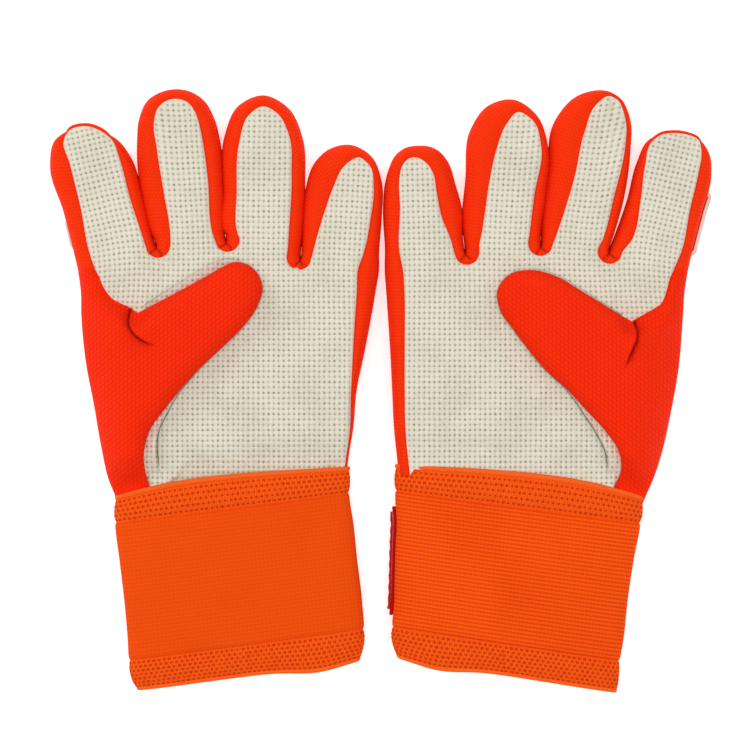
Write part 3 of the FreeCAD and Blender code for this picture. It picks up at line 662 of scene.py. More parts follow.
# each station is (outer line, edge of the palm foam)
plan = {
    "left": {
        "index": (
            ((14.4, -3), (9.2, -3)), ((14.6, 12), (8.5, 12)), ((15.4, 29), (8.6, 28)),
            ((11.8, 37.0), (8.7, 36.5)), ((5.9, 39.4), (5.9, 39.45)), ((0.8, 39.7), (0.8, 39.75)),
            ((-4.5, 36.8), (-4.5, 36.85)), ((-9.6, 32.4), (-7.9, 32.4)), ((-12.6, 26), (-8.8, 26)),
            ((-13.8, 11), (-9.2, 11)), ((-13.8, -3), (-10.3, -3))),
        "middle": (
            ((12.4, -3), (6.2, -3)), ((15.4, 12), (7.4, 12)), ((15.5, 31), (8.8, 28)),
            ((14.3, 38.4), (9.1, 37.6)), ((10.7, 45.0), (7.2, 42.4)), ((5.6, 47.6), (4.2, 44.5)),
            ((1.0, 48.2), (1.0, 44.9)), ((-4.6, 46.9), (-2.8, 43.6)), ((-8.9, 43.6), (-5.2, 40.4)),
            ((-12.2, 36.6), (-6.6, 35.6)), ((-13.6, 29), (-7.6, 28)), ((-13.9, 15), (-8.3, 15)),
            ((-13.0, -3), (-8.7, -3))),
        "ring": (
            ((13.3, -3), (8.8, -3)), ((14.2, 12), (9.3, 12)), ((13.8, 31), (8.6, 29)),
            ((9.0, 41.8), (5.2, 38.8)), ((0.4, 45.6), (0.4, 41.8)), ((-8.8, 41), (-4.4, 39.6)),
            ((-13.6, 31), (-8.8, 32)), ((-14.7, 15), (-9.9, 18)), ((-14.1, -3), (-9.1, -3)),
            ((-13.6, -7.2), (-8.8, -8.6))),
        "little": (
            ((13.9, -0.5), (9.4, -1.5)), ((13.7, 18), (6.2, 12)), ((11.0, 27.6), (3.6, 20.5)),
            ((6.6, 32.4), (0.6, 27)), ((-1.1, 34.6), (-4.6, 30.4)), ((-9.0, 30.8), (-8.6, 27.4)),
            ((-12.9, 22.5), (-10.2, 20)), ((-13.6, 10), (-9.6, 8)), ((-13.4, -3), (-8.0, -3))),
        "crotches": (((79.1, 51.1), (78.4, 46.55)), ((54.6, 52.85), (54.1, 48.65)),
            ((28.4, 46.6), (29.05, 42.35))),
        "indexBase": ((106.4, 42.4), (100.4, 42.4)),
        "littleBase": ((1.0, 42.4), (8.4, 42.4)),
        "littleSide": (
            ((2.1, 35.3), (8.8, 35.3)), ((5.9, 14.3), (10.1, 14.3)), ((8.8, 0.3), (10.8, 0.3)),
            ((10.1, -13.7), (11.2, -13.7)), ((11.9, -24.2), (12.7, -24.2)), ((12.6, -29.5), (13.4, -29.5))),
        "thumbSide": (
            (105.4, 35), (105.2, 26), (103.6, 10), (100.7, -5.5), (98.0, -20.6), (95.6, -31), (93.6, -36),
            (91.6, -41.5)),
        "web": ((97.6, 35.3), (94.6, 31.6), (90.8, 29.6), (88.0, 28.3), (86.0, 27.0)),
        "thumbEdge": (
            (86.0, 27.0), (81.2, 29.4), (74.2, 33.0), (67.2, 36.8), (60.2, 40.7), (56.0, 43.1),
            (51.2, 45.0), (46.9, 44.1), (43.5, 41.1), (41.7, 36.4), (43.9, 28.7), (49.4, 21.3),
            (56.7, 14.3), (64.0, 7.3), (70.4, 0.3), (76.0, -6.7), (81.0, -13.7), (83.0, -20.7),
            (82.9, -27.7), (81.5, -34.0), (80.8, -37.5)),
        "fold": ((87.9, 28.0), (88.3, 26.3), (88.4, 24.1), (87.6, 21.7), (85.7, 19.2), (81.9, 16.7),
            (77.6, 15.1)),
        "frontUpper": 2.9, "lip": 1.2, "lipFrom": -4.0, "lipTo": 14.0,
        "cuff": {
            "thumbEdge": (
                (92.9, -36.4), (93.1, -45.2), (91.3, -59.2), (89.6, -73.2), (88.5, -87.2), (88.2, -94.2),
                (86.8, -101.2), (85.2, -104.4)),
            "littleEdge": (
                (11.5, -26.2), (11.5, -38.2), (10.5, -45.2), (9.1, -59.2), (7.35, -73.2), (6.6, -87.2),
                (8.0, -93.8)),
            "bow": 2.6, "foldDepth": 0.8, "strapReach": 38.2, "strapRise": 5.2},
        "elastic": "leftElastic",
    },
    "right": {
        "index": (
            ((15.0, -3), (11.4, -3)), ((15.2, 12), (10.9, 12)), ((15.4, 25), (10.8, 25)),
            ((12.8, 32.6), (10.2, 32.2)), ((8.3, 36.6), (8.1, 36.5)), ((3.6, 37.4), (3.6, 37.4)),
            ((-0.6, 36.9), (-0.6, 36.9)), ((-5.2, 35.4), (-5.0, 35.2)), ((-9.1, 32.2), (-7.8, 31.8)),
            ((-11.1, 24), (-8.0, 23)), ((-11.4, 10), (-6.7, 11)), ((-12.8, -3), (-6.5, -3))),
        "middle": (
            ((12.9, -3), (9.8, -3)), ((14.9, 12), (11.4, 12)), ((14.6, 30), (12.7, 30)),
            ((13.6, 38), (12.0, 37.6)), ((11.8, 42.4), (10.4, 42)), ((8.9, 46.3), (7.9, 45.8)),
            ((4.4, 48.3), (4.6, 46.9)), ((-6.5, 45.3), (0.6, 43.4)), ((-13.2, 35), (-2.2, 33)),
            ((-13.2, 18), (-3.2, 18)), ((-12.2, -3), (-6.4, -3))),
        "ring": (
            ((14.1, -3), (10.1, -3)), ((15.0, 12), (10.9, 12)), ((14.6, 28), (12.2, 28)),
            ((9.6, 39.5), (8.6, 37.4)), ((1.0, 44.3), (3.0, 40.1)), ((-7.5, 41.6), (-0.6, 35.6)),
            ((-13.2, 32.5), (-3.4, 27)), ((-13.7, 16), (-5.2, 15)), ((-13.4, -3), (-6.6, -3)),
            ((-12.8, -5.8), (-7.2, -7.5))),
        "little": (
            ((14.2, 1.0), (9.9, 1.2)), ((14.4, 10), (7.0, 9)), ((12.2, 19.9), (5.4, 18)),
            ((9.3, 28.9), (4.2, 24.8)), ((6.3, 32.4), (1.8, 28.4)), ((2.5, 34.0), (-0.6, 29.9)),
            ((-0.8, 34.2), (-2.6, 30.2)), ((-4.8, 33.7), (-4.7, 29.4)), ((-8.8, 31.0), (-6.4, 27.3)),
            ((-11.1, 26.6), (-7.3, 24.2)), ((-12.6, 21.6), (-7.7, 21)), ((-13.5, 13.8), (-7.6, 13.4)),
            ((-13.3, -3), (-8.2, -3))),
        "crotches": (((79.3, 49.4), (79.8, 44.45)), ((55.6, 51.2), (55.5, 47.25)),
            ((29.0, 49.0), (29.75, 44.1))),
        "indexBase": ((107.1, 42.4), (102.2, 42.4)),
        "littleBase": ((0.9, 42.4), (7.3, 42.4)),
        "littleSide": (
            ((1.4, 35.3), (7.8, 35.3)), ((2.8, 14.3), (7.9, 14.3)), ((3.5, 0.3), (7.9, 0.3)),
            ((4.2, -13.7), (8.2, -13.7)), ((5.3, -24.2), (9.2, -24.2)), ((5.8, -29.5), (9.8, -29.5))),
        "thumbSide": (
            (105.9, 35), (105.3, 26), (103.8, 8), (101.0, -8), (97.8, -22), (95.0, -30.5), (92.4, -36.5),
            (90.0, -42)),
        "web": ((100.5, 36.3), (99.3, 32.2), (98.0, 29.9), (96.0, 28.5), (93.2, 26.9), (88.0, 23.9)),
        "thumbEdge": (
            (88.0, 23.9), (84.6, 25.8), (77.5, 30.1), (69.3, 35.1), (60.5, 40.2), (51.8, 42.2), (44.3, 40.6),
            (40.3, 35.3), (41.1, 28.4), (45.8, 21.3), (51.1, 14.3), (57.0, 7.3), (64.7, 0.3), (71.2, -6.7),
            (77.7, -13.7), (82.4, -20.7), (83.7, -27.0), (81.4, -34.0), (79.8, -38.5)),
        "fold": ((88.2, 23.8), (89.0, 21.2), (88.6, 18.0), (87.2, 14.6), (85.6, 10.8), (84.2, 7.0)),
        "frontUpper": 0.5, "lip": 2.2, "lipFrom": -6.0, "lipTo": 24.0,
        "cuff": {
            "thumbEdge": (
                (91.0, -36.6), (90.3, -45.2), (87.5, -59.2), (85.4, -73.2), (84.0, -87.2), (82.9, -94.2),
                (81.8, -105.2)),
            "littleEdge": (
                (4.9, -25.4), (4.9, -38.2), (5.5, -45.2), (5.2, -53.9), (4.6, -73.2), (3.9, -87.2),
                (5.6, -92.8)),
            "bow": 3.1, "foldDepth": 0.2, "strapReach": 42.6, "strapRise": 8.6},
        "elastic": "rightElastic",
    },
}


def creaseFrame(side, finger):
    # crease centre and lean of a finger, from its joint
    joint = joints[f"{side}_{finger}_curl"]
    k = sides[side]
    centre = np.array([k * joint["pos_m"][0], joint["pos_m"][1]]) / mm
    lean = -k * math.atan2(joint["axis"][1], joint["axis"][0])
    return centre, lean


def fromFinger(side, finger, places):
    centre, lean = creaseFrame(side, finger)
    p = np.array(places, float)
    out = centre[0] + p[:, 0] * math.cos(lean) + p[:, 1] * math.sin(lean)
    along = centre[1] - p[:, 0] * math.sin(lean) + p[:, 1] * math.cos(lean)
    return np.stack([out, along], 1)


def toFinger(side, finger, places):
    centre, lean = creaseFrame(side, finger)
    d = np.array(places, float) - centre
    x = d[:, 0] * math.cos(lean) - d[:, 1] * math.sin(lean)
    y = d[:, 0] * math.sin(lean) + d[:, 1] * math.cos(lean)
    return np.stack([x, y], 1)


def clothOf(side, places):
    # the waffle's own coordinates: the grid turns with each finger and lies straight on the palm
    places = np.array(places, float)
    shift = np.zeros_like(places)
    weight = np.zeros(len(places))
    for finger in fingerNames:
        centre, lean = creaseFrame(side, finger)
        local = toFinger(side, finger, places)
        straight = centre + local
        share = np.exp(-((places[:, 0] - centre[0] - 0.2 * local[:, 1] * math.sin(lean)) / 13.0) ** 2)
        shift += share[:, None] * (straight - places) * smoothStep((local[:, 1] + 30) / 40)[:, None]
        weight += share
    return places + shift / np.maximum(weight, 0.15)[:, None]


# where the plan is looked at from, and its level
seen = {"centre": (-1.4, 4.5), "above": 1214.0, "flat": 14.0}


def trueLine(side, line, up):
    # the plan is as seen from straight above; lower lines are really a little further out
    line = np.asarray(line, float)
    centre = np.array([sides[side] * seen["centre"][0], seen["centre"][1]])
    return centre + (line - centre) * (seen["above"] - up) / (seen["above"] - seen["flat"])


class GlovePlan:
    # the outline of one glove: the outer line and the foam's edge, cut at the fingers' bases

    def __init__(self, side):
        self.data = plan[side]
        stations, names = [self.data["indexBase"]], []
        outers = [fromFinger(side, finger, [s[0] for s in self.data[finger]]) for finger in fingerNames]
        for number, finger in enumerate(fingerNames):
            foam = fromFinger(side, finger, [s[1] for s in self.data[finger]])
            inner = [(tuple(a), tuple(b)) for a, b in zip(outers[number], foam)]
            # two fingers touch for a little way, and the foam's edge goes round the bottom of their gap
            for crotch, turn in ((number - 1, -1), (number, 1)):
                if 0 <= crotch < 3:
                    pinch, bottom = self.data["crotches"][crotch]
                    way = (outers[crotch][-1] + outers[crotch + 1][0]) / 2 - pinch
                    way /= np.linalg.norm(way)
                    curve = []
                    for apart, up, aside, rise in hand["crotchCurve"]:
                        touch = (pinch[0] + turn * apart + way[0] * up, pinch[1] + way[1] * up)
                        size = hand["crotchRound"]
                        curve.append((touch, (bottom[0] + turn * size * aside, bottom[1] + size * rise)))
                    inner = curve + inner if turn < 0 else inner + curve[::-1]
            for station in inner:
                names.append(finger)
                stations.append(station)
            names.append(finger)
            stations.append(self.data["crotches"][number] if number < 3 else self.data["littleBase"])
        for station in self.data["littleSide"]:
            names.append("littleSide")
            stations.append(station)
        outer = [s[0] for s in stations]
        foam = [s[1] for s in stations]
        counts = spanCounts(outer, foam, step=0.95)
        outer = hermitePath([self.data["thumbSide"][0]] + outer, [3] + counts)[3:]
        foam = hermitePath([self.data["web"][0]] + foam, [3] + counts)[3:]
        # where the gusset is narrow the foam rolls over the fingertip
        width = np.linalg.norm(outer - foam, axis=1)
        self.seamUp = hand["seamTop"] - 3.2 * (1 - smoothStep(width / 2.6))
        self.outer = trueLine(side, outer, hand["middle"])
        self.foam = trueLine(side, foam, self.seamUp[:, None])
        ends = np.concatenate([[0], np.cumsum(counts)])
        self.spans = {}
        for i, name in enumerate(names):
            first = self.spans.get(name, (ends[i], ends[i]))[0]
            self.spans[name] = (int(first), int(ends[i + 1]))
        thumbSide = smoothLine([self.data["indexBase"][0]] + list(self.data["thumbSide"]), 0.95)
        web = smoothLine([self.data["indexBase"][1]] + list(self.data["web"]), 0.8)
        self.thumbSide = trueLine(side, thumbSide, hand["middle"])
        self.web = trueLine(side, web, hand["seamTop"])
        self.thumbEdge = trueLine(side, smoothLine(self.data["thumbEdge"], 0.8), hand["seamTop"])
        self.foamEdge = np.vstack([self.web[::-1], self.foam[1:]])
        self.edgeUp = np.concatenate([np.full(len(self.web), hand["seamTop"]), self.seamUp[1:]])
        # along the web the thumb's cloth laps a little over the foam
        over = -normalsOf(self.web)
        lap = smoothStep(np.arange(len(self.web)) / 5.0)[:, None] * hand["webLap"]
        self.webOver = self.web + over * np.sign((over * [-1.0, 1.0]).sum(1).mean()) * lap
        inward = np.array([40.0, 5.0]) - self.thumbSide
        self.sideInward = inward / np.linalg.norm(inward, axis=1, keepdims=True)
        self.cuffThumb = trueLine(side, smoothLine(self.data["cuff"]["thumbEdge"], 1.0), hand["middle"])
        self.cuffLittle = trueLine(side, smoothLine(self.data["cuff"]["littleEdge"], 1.0), hand["middle"])

        # under the folded thumb the palm foam ends along a hidden line
        sideLine = self.fingerSpan("littleSide")[1]
        tuck, last = hand["wristTuck"], hand["palmEnd"]
        hidden = straightLine((last, self.cuffAlong(last) - tuck), self.web[-1], 1.2)
        outs = np.linspace(sideLine[-1][0] + tuck, last - 0.8, 50)
        wrist = np.column_stack([outs, self.cuffAlong(outs) - tuck])
        cuts = [self.cutLine(name)[::-1] for name in fingerNames]
        self.palm = np.vstack([self.web[::-1]] + cuts + [sideLine, wrist, hidden])

    def fingerSpan(self, name):
        first, last = self.spans[name]
        return self.outer[first:last + 1], self.foam[first:last + 1]

    def cutLine(self, name):
        foam = self.fingerSpan(name)[1]
        return straightLine(foam[-1], foam[0], 1.0)

    def spanUp(self, name):
        first, last = self.spans[name]
        return self.seamUp[first:last + 1]

    def cuffAlong(self, out):
        # the cuff's top edge
        far, near = self.cuffThumb[0], self.cuffLittle[0]
        share = (np.asarray(out) - near[0]) / (far[0] - near[0])
        place = share * 2 - 1
        arch = self.data["cuff"]["bow"] * np.clip(1 - place ** 2, 0, 1) * (1 + 0.5 * place)
        return near[1] + share * (far[1] - near[1]) + arch


plans = {side: GlovePlan(side) for side in sides}


def reachPastCuff(side, places):
    # how far a place is below the cuff's top edge
    places = np.asarray(places, float)
    return plans[side].cuffAlong(places[:, 0]) - places[:, 1]


def wristSink(side, places):
    # the hand thins where it goes into the cuff
    return smoothStep((reachPastCuff(side, places) + 13) / 12)


def cornerSink(side, places):
    # it thins more at the two ends of the wrist
    far, near = plans[side].cuffThumb[0], plans[side].cuffLittle[0]
    place = np.abs((places[:, 0] - near[0]) / (far[0] - near[0]) * 2 - 1)
    return smoothStep((place - 0.72) / 0.26) * smoothStep((reachPastCuff(side, places) + 3) / 3)


def foamTop(side, places):
    # height of the palm foam's face
    places = np.asarray(places, float)
    glove = plans[side]
    edge = distanceTo(places, glove.foamEdge)
    drop = hand["wristDrop"]
    seam = glove.edgeUp[nearestOn(places, glove.foamEdge)[1]] - drop["seam"] * wristSink(side, places)
    top = np.full(len(places), hand["palmTop"])
    for finger in fingerNames:
        local = toFinger(side, finger, places)
        reach = max(station[1][1] for station in plan[side][finger])
        near = np.exp(-(local[:, 0] / 12.0) ** 4)
        top -= near * hand["tipDrop"] * smoothStep((local[:, 1] - reach + 15) / 15) ** 1.6
        for middle, wide, deep in hand["knuckleDips"]:
            top -= near * deep * np.exp(-((local[:, 1] - middle) / wide) ** 2)
    top += 0.25 * softNoise(places, 38.0, 3) + 0.10 * softNoise(places, 11.0, 8)
    top -= drop["foam"] * wristSink(side, places) + drop["corner"] * cornerSink(side, places)
    return seam + np.maximum(top - seam, 0.4) * roundUp(edge, hand["foamRoll"], 2.2)


def blendEnds(side, finger):
    # two points either side of a finger's crease, at its joint's height
    centre, lean = creaseFrame(side, finger)
    foam = plans[side].fingerSpan(finger)[1]
    a, b = foam[0], foam[-1]
    line = (b - a) / np.linalg.norm(b - a)
    normal = np.array([-line[1], line[0]])
    if normal[1] < 0:
        normal = -normal
    depth = float(np.dot(centre - a, normal))
    k = sides[side]
    joint = joints[f"{side}_{finger}_curl"]
    height = joint["pos_m"][2]
    start = centre - normal * depth
    end = centre + normal * depth
    return (k * start[0] * mm, start[1] * mm, height), (k * end[0] * mm, end[1] * mm, height)


def joinFinger(piece, side, finger):
    start, end = blendEnds(side, finger)
    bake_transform(piece)


def foamPiece(name, side, outline, edges):
    flat, faces = fillOutline(outline, 1.15, edges=edges)
    heights = foamTop(side, flat)
    # near the seams the pits lose their painted shade and a painted pink glow shows
    near = np.exp(-distanceTo(flat, edges) / 0.55)
    return makePiece(
        name, side, np.column_stack([flat, heights]), faces, "latex", clothOf(side, flat), lambda c: (0, 0, 1),
        hand["foamWall"], marks={"seamNear": near})


def palmFoam(side):
    glove = plans[side]
    piece = foamPiece(f"{side}_palm_foam", side, glove.palm, glove.foamEdge)
    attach(piece, f"{side}_hand")
    declare(piece, "palm_latex", f"{side}_palm_grip", fill=0.7)
    for finger in fingerNames:
        foam = glove.fingerSpan(finger)[1]
        outline = np.vstack([foam, glove.cutLine(finger)])
        part = foamPiece(f"{side}_{finger}_foam", side, outline, foam)
        joinFinger(part, side, finger)
        declare(part, "palm_latex", f"{side}_{finger}_grip", fill=0.7)


gusset = {
    "topRows": 11, "lowRows": 8, "power": 2.4, "puff": 0.75, "lip": 0.15, "wrinkle": 0.7, "wrinkleWide": 0.38,
    "fork": ((0.0, 0.0), (2.0, -1.5), (-1.9, -1.9)),
}


def gussetPuff(share, width):
    # the gusset's swell between its two seams
    return gusset["puff"] * np.sin(math.pi * np.minimum(1.0, share * 1.05)) * np.clip(width / 5, 0, 1.3)


def inwardOf(outer, foam):
    # unit steps from the outer line towards the foam
    inward = foam - outer
    turned = normalsOf(outer)
    turned *= np.sign((turned * inward).sum(1) + 1e-9)[:, None]
    size = np.linalg.norm(inward, axis=1, keepdims=True)
    steady = np.clip(size / 1.5, 0, 1)
    way = inward / np.maximum(size, 1e-6) * steady + turned * (1 - steady)
    return way / np.maximum(np.linalg.norm(way, axis=1, keepdims=True), 1e-6)


def lipAlong(side, outer):
    # how far the backhand shows outside the gusset, along the outside of the index finger
    local = toFinger(side, "index", outer)
    first, last = plan[side]["lipFrom"], plan[side]["lipTo"]
    along = smoothStep((local[:, 1] - first) / 5) * smoothStep((last - local[:, 1]) / 6) * (local[:, 0] > 9)
    return along * plan[side]["lip"]


def backSeam(side, outer, foam):
    # the seam with the backhand, a little inside the outer line
    inset = hand["backInset"] - 3.1 * smoothStep(lipAlong(side, outer) / plan[side]["lip"])
    return outer + inwardOf(outer, foam) * inset[:, None]


def panelEdge(side, outer, foam):
    # the backhand's own edge
    return backSeam(side, outer, foam) - inwardOf(outer, foam) * (0.3 + lipAlong(side, outer))[:, None]


def gussetRows(side, outer, foam, back, seamUp=None):
    # points from the foam's edge over the outer line to the back seam, row by row
    sink = wristSink(side, outer)[:, None]
    width = np.linalg.norm(outer - foam, axis=1)[:, None]
    drop = hand["wristDrop"]
    top = (hand["seamTop"] if seamUp is None else seamUp[:, None]) - drop["seam"] * sink
    middle = hand["middle"] + drop["side"] * sink
    low = hand["seamBack"] + drop["back"] * sink
    share = 2 / gusset["power"]
    rows = []
    for i in range(gusset["topRows"]):
        angle = math.pi / 2 * i / (gusset["topRows"] - 1)
        a, b = math.sin(angle) ** share, math.cos(angle) ** share
        up = middle + (top - middle) * b + gussetPuff(a, width) - gusset["lip"] * (i == 0)
        rows.append(np.column_stack([foam + (outer - foam) * a, up]))
    for i in range(1, gusset["lowRows"]):
        angle = math.pi / 2 * i / (gusset["lowRows"] - 1)
        a, b = 1 - math.cos(angle) ** share, math.sin(angle) ** share
        rows.append(np.column_stack([outer + (back - outer) * a, middle + (low - middle) * b]))
    return np.array(rows)


def crotchWrinkles(side, places):
    # small forked folds where two fingers meet
    depth = np.zeros(len(places))
    for pinch, bottom in plan[side]["crotches"]:
        pinch, bottom = np.array(pinch), np.array(bottom)
        fork = pinch + (bottom - pinch) * 0.3
        for number, branch in enumerate(gusset["fork"]):
            gap = distanceTo(places, np.array([fork if number else pinch, fork + branch]))
            depth = np.maximum(depth, np.exp(-(gap / gusset["wrinkleWide"]) ** 2))
    return depth


def gussetPiece(name, side, span):
    outer, foam = plans[side].fingerSpan(span)
    back = backSeam(side, outer, foam)
    rows = gussetRows(side, outer, foam, back, plans[side].spanUp(span))
    count, columns = rows.shape[:2]
    middle = (outer + foam) / 2
    along = runAlong(middle)
    steps = np.linalg.norm(np.diff(rows, axis=0), axis=2)
    across = np.vstack([np.zeros((1, columns)), np.cumsum(steps, axis=0)])
    cloth = np.stack([np.broadcast_to(along, across.shape), across], 2).reshape(-1, 2)

    def outward(centre):
        nearest = np.argmin(np.linalg.norm(middle - centre[:2], axis=1))
        inside = foam[nearest] + (foam[nearest] - outer[nearest]) * 0.3
        return (*(centre[:2] - inside), centre[2] - hand["middle"])

    places = rows.reshape(-1, 3)
    places[:, 2] += 0.08 * softNoise(places[:, :2], 9.0, 5)
    high = places[:, 2] > hand["middle"] + 1.0
    # the folds' mask both sinks the cloth and paints shade into them
    crease = crotchWrinkles(side, places[:, :2]) * high
    places[:, 2] -= gusset["wrinkle"] * crease
    return makePiece(
        name, side, places, gridFaces(count, columns), "gussetKnit", cloth, outward, hand["gussetWall"],
        marks={"crease": crease * 0.8})


def gussets(side):
    for finger in fingerNames:
        piece = gussetPiece(f"{side}_{finger}_gusset_knit", side, finger)
        joinFinger(piece, side, finger)
        declare(piece, "gusset_knit", f"{side}_{finger}_gusset", fill=0.5)
    piece = gussetPiece(f"{side}_little_side_gusset_knit", side, "littleSide")
    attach(piece, f"{side}_hand")
    declare(piece, "gusset_knit", f"{side}_outer_gusset", fill=0.5)


thumb = {
    "sideRound": 9.0, "top": 16.9, "edgeRound": 6.0, "rise": 7.6, "lift": 2.3, "crown": 1.0, "fallOff": 16.0,
    "frontWide": 5.0, "frontTop": 21.0, "frontLow": 17.8, "frontRoll": 1.3, "underCloth": 0.5, "wall": 1.3,
    "frontHidden": ((87.0, -20.0), (84.0, 5.0)), "foldStep": 1.2, "foldDepth": 1.2, "foldGroove": 1.0,
    "overPalm": 0.35, "pleatHeart": (74.0, -19.0), "pleatReach": 11.0, "pleatPitch": 1.9, "pleatDepth": 0.2,
    "blendReach": 9.0, "blendLean": 12.0,
}


def thumbHinge(side):
    joint = joints[f"{side}_thumb_fold"]
    k = sides[side]
    point = np.array([k * joint["pos_m"][0], joint["pos_m"][1]]) / mm
    way = np.array([k * joint["axis"][0], joint["axis"][1]]) * (1 if joint["axis"][1] > 0 else -1)
    way /= np.linalg.norm(way)
    out = np.array([way[1], -way[0]])
    return point, way, out if out[0] > 0 else -out


def foldPath(side):
    return trueLine(side, smoothLine(plan[side]["fold"], 0.5), hand["seamTop"])


def crotchFold(side, places):
    # the cloth of the folded thumb laps over the hand's along a short curved fold; it also gives painted shade
    # along the fold, wider on the hand's side
    path = foldPath(side)
    gap, index = nearestOn(places, path)
    tangent = np.gradient(path, axis=0)[index]
    away = places - path[index]
    onThumb = tangent[:, 0] * away[:, 1] - tangent[:, 1] * away[:, 0] < 0
    left = (len(path) - 1 - index) * 0.5
    fade = smoothStep(left / 7.0)
    lap = np.where(onThumb, thumb["foldStep"] * np.exp(-gap / 4.0), -thumb["foldDepth"] * np.exp(-gap / 1.9))
    lap = lap * smoothStep(gap / 0.5 + 0.2) - thumb["foldGroove"] * np.exp(-(gap / 0.35) ** 2)
    # painted shade: a narrow dark line on the fold, and a softer spread on the hand's side
    soft = np.where(onThumb, 0.0, 0.4 * np.exp(-gap / 1.4))
    return lap * fade, np.maximum(np.exp(-(gap / 0.42) ** 2), soft) * fade


def coverTop(side, places):
    # height of the orange cloth from the thumb side of the hand over the folded thumb
    glove = plans[side]
    places = np.asarray(places, float)
    sink = wristSink(side, places)
    fromSide = distanceTo(places, glove.thumbSide)
    fromEdge = distanceTo(places, glove.thumbEdge)
    fromWeb = distanceTo(places, glove.webOver)
    point, way, out = thumbHinge(side)
    beyond = (places - point) @ out
    folded = 1 - smoothStep((beyond - 1.0) / thumb["fallOff"])
    # near the index finger the cloth has the same section as the finger's gusset
    base = np.array(glove.data["indexBase"])
    near = np.exp(-(distanceTo(places, base) / 9.0) ** 2)
    drop = hand["wristDrop"]
    middle = hand["middle"] + drop["side"] * sink
    top = thumb["top"] + (hand["seamTop"] - thumb["top"]) * near - drop["cover"] * sink
    wide = np.minimum(thumb["sideRound"], np.maximum(fromSide + fromWeb, 0.5))
    share = np.clip(fromSide / wide, 0, 1)
    power = gusset["power"]
    height = middle + (top - middle) * (1 - (1 - share) ** power) ** (1 / power)
    height += near * gussetPuff(1 - share, wide) - gusset["lip"] * near * np.exp(-fromWeb / 0.4)
    height -= (thumb["top"] - hand["seamTop"] - 0.5) * (1 - near) * (1 - roundUp(fromWeb, 2.4))
    fromCrease = np.linalg.norm(places - glove.thumbEdge[0], axis=1)
    lift = thumb["lift"] * smoothStep(fromCrease / 14.0) * folded
    rise = (thumb["rise"] - lift) * roundUp(fromEdge, thumb["edgeRound"], 2.1) * folded
    bulge = lift + rise + thumb["crown"] * (1 - np.exp(-fromEdge / 9.0)) * folded
    height += bulge * (1 - 0.95 * sink) * smoothStep(0.12 + fromWeb / 8.0) * smoothStep(0.3 + fromCrease / 8.0)
    height += crotchFold(side, places)[0]
    soft = 1 - near
    height += (0.30 * softNoise(places, 26.0, 11) + 0.10 * softNoise(places, 8.0, 12)) * soft
    over = insideOf(places, glove.palm)
    if over.any():
        height[over] = np.maximum(height[over], foamTop(side, places[over]) + thumb["overPalm"])
    return height


def blendThumb(piece, side):
    # bakes the piece's placement into its mesh
    point, way, out = thumbHinge(side)
    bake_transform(piece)


def thumbCover(side):
    glove = plans[side]
    wristEnd = glove.thumbEdge[-1]
    outline = np.vstack([
        glove.thumbSide, straightLine(glove.thumbSide[-1], wristEnd, 1.2), glove.thumbEdge[::-1],
        glove.webOver[::-1], straightLine(glove.web[0], glove.thumbSide[0], 1.0)])
    # the edge inside the cuff isn't rolled, so the line goes far round it
    far = [[0, -60]]
    rolled = np.vstack([
        glove.webOver, glove.thumbEdge, glove.thumbEdge[-1:] + far, glove.thumbSide[-1:] + far,
        glove.thumbSide[::-1]])
    rings = (0.1, 0.35, 0.75, 1.3, 2.0, 2.9, 4.0, 5.2)
    flat, faces = fillOutline(outline, 1.15, rings, rolled, foldPath(side))
    places = np.column_stack([flat, coverTop(side, flat)])
    # painted shade along the crotch fold
    crease = crotchFold(side, flat)[1]
    # the cloth goes on round the thumb side of the hand, down to the back seam
    outer = glove.thumbSide
    back = backSeam(side, outer, outer + glove.sideInward * 8)
    low = gussetRows(side, outer, outer + glove.sideInward * 8, back)[gusset["topRows"] - 1:]
    low[0, :, 2] = coverTop(side, outer)
    faces = faces + gridFaces(len(low), low.shape[1], len(places))
    wrap = low.reshape(-1, 3)
    places = np.vstack([places, wrap])
    steps = np.linalg.norm(np.diff(low, axis=0), axis=2)
    across = np.vstack([np.zeros((1, low.shape[1])), np.cumsum(steps, axis=0)]).reshape(-1, 1)
    cloth = np.vstack([flat, np.tile(outer, (len(low), 1)) + across * np.array([1.0, 0.0])])
    crease = np.concatenate([crease, np.zeros(len(wrap))])

    def outward(centre):
        return (centre[0] - 70, 0, centre[2] - 2)

    piece = makePiece(
        f"{side}_thumb_knit", side, places, faces, "thumbKnit", cloth, outward, thumb["wall"], weld=True,
        marks={"crease": crease})
    blendThumb(piece, side)
    nodes = [f"{side}_thumb_{part}" for part in ("back", "gusset", "side_gusset")]
    declare(piece, "thumb_knit", *nodes, fill=0.6)


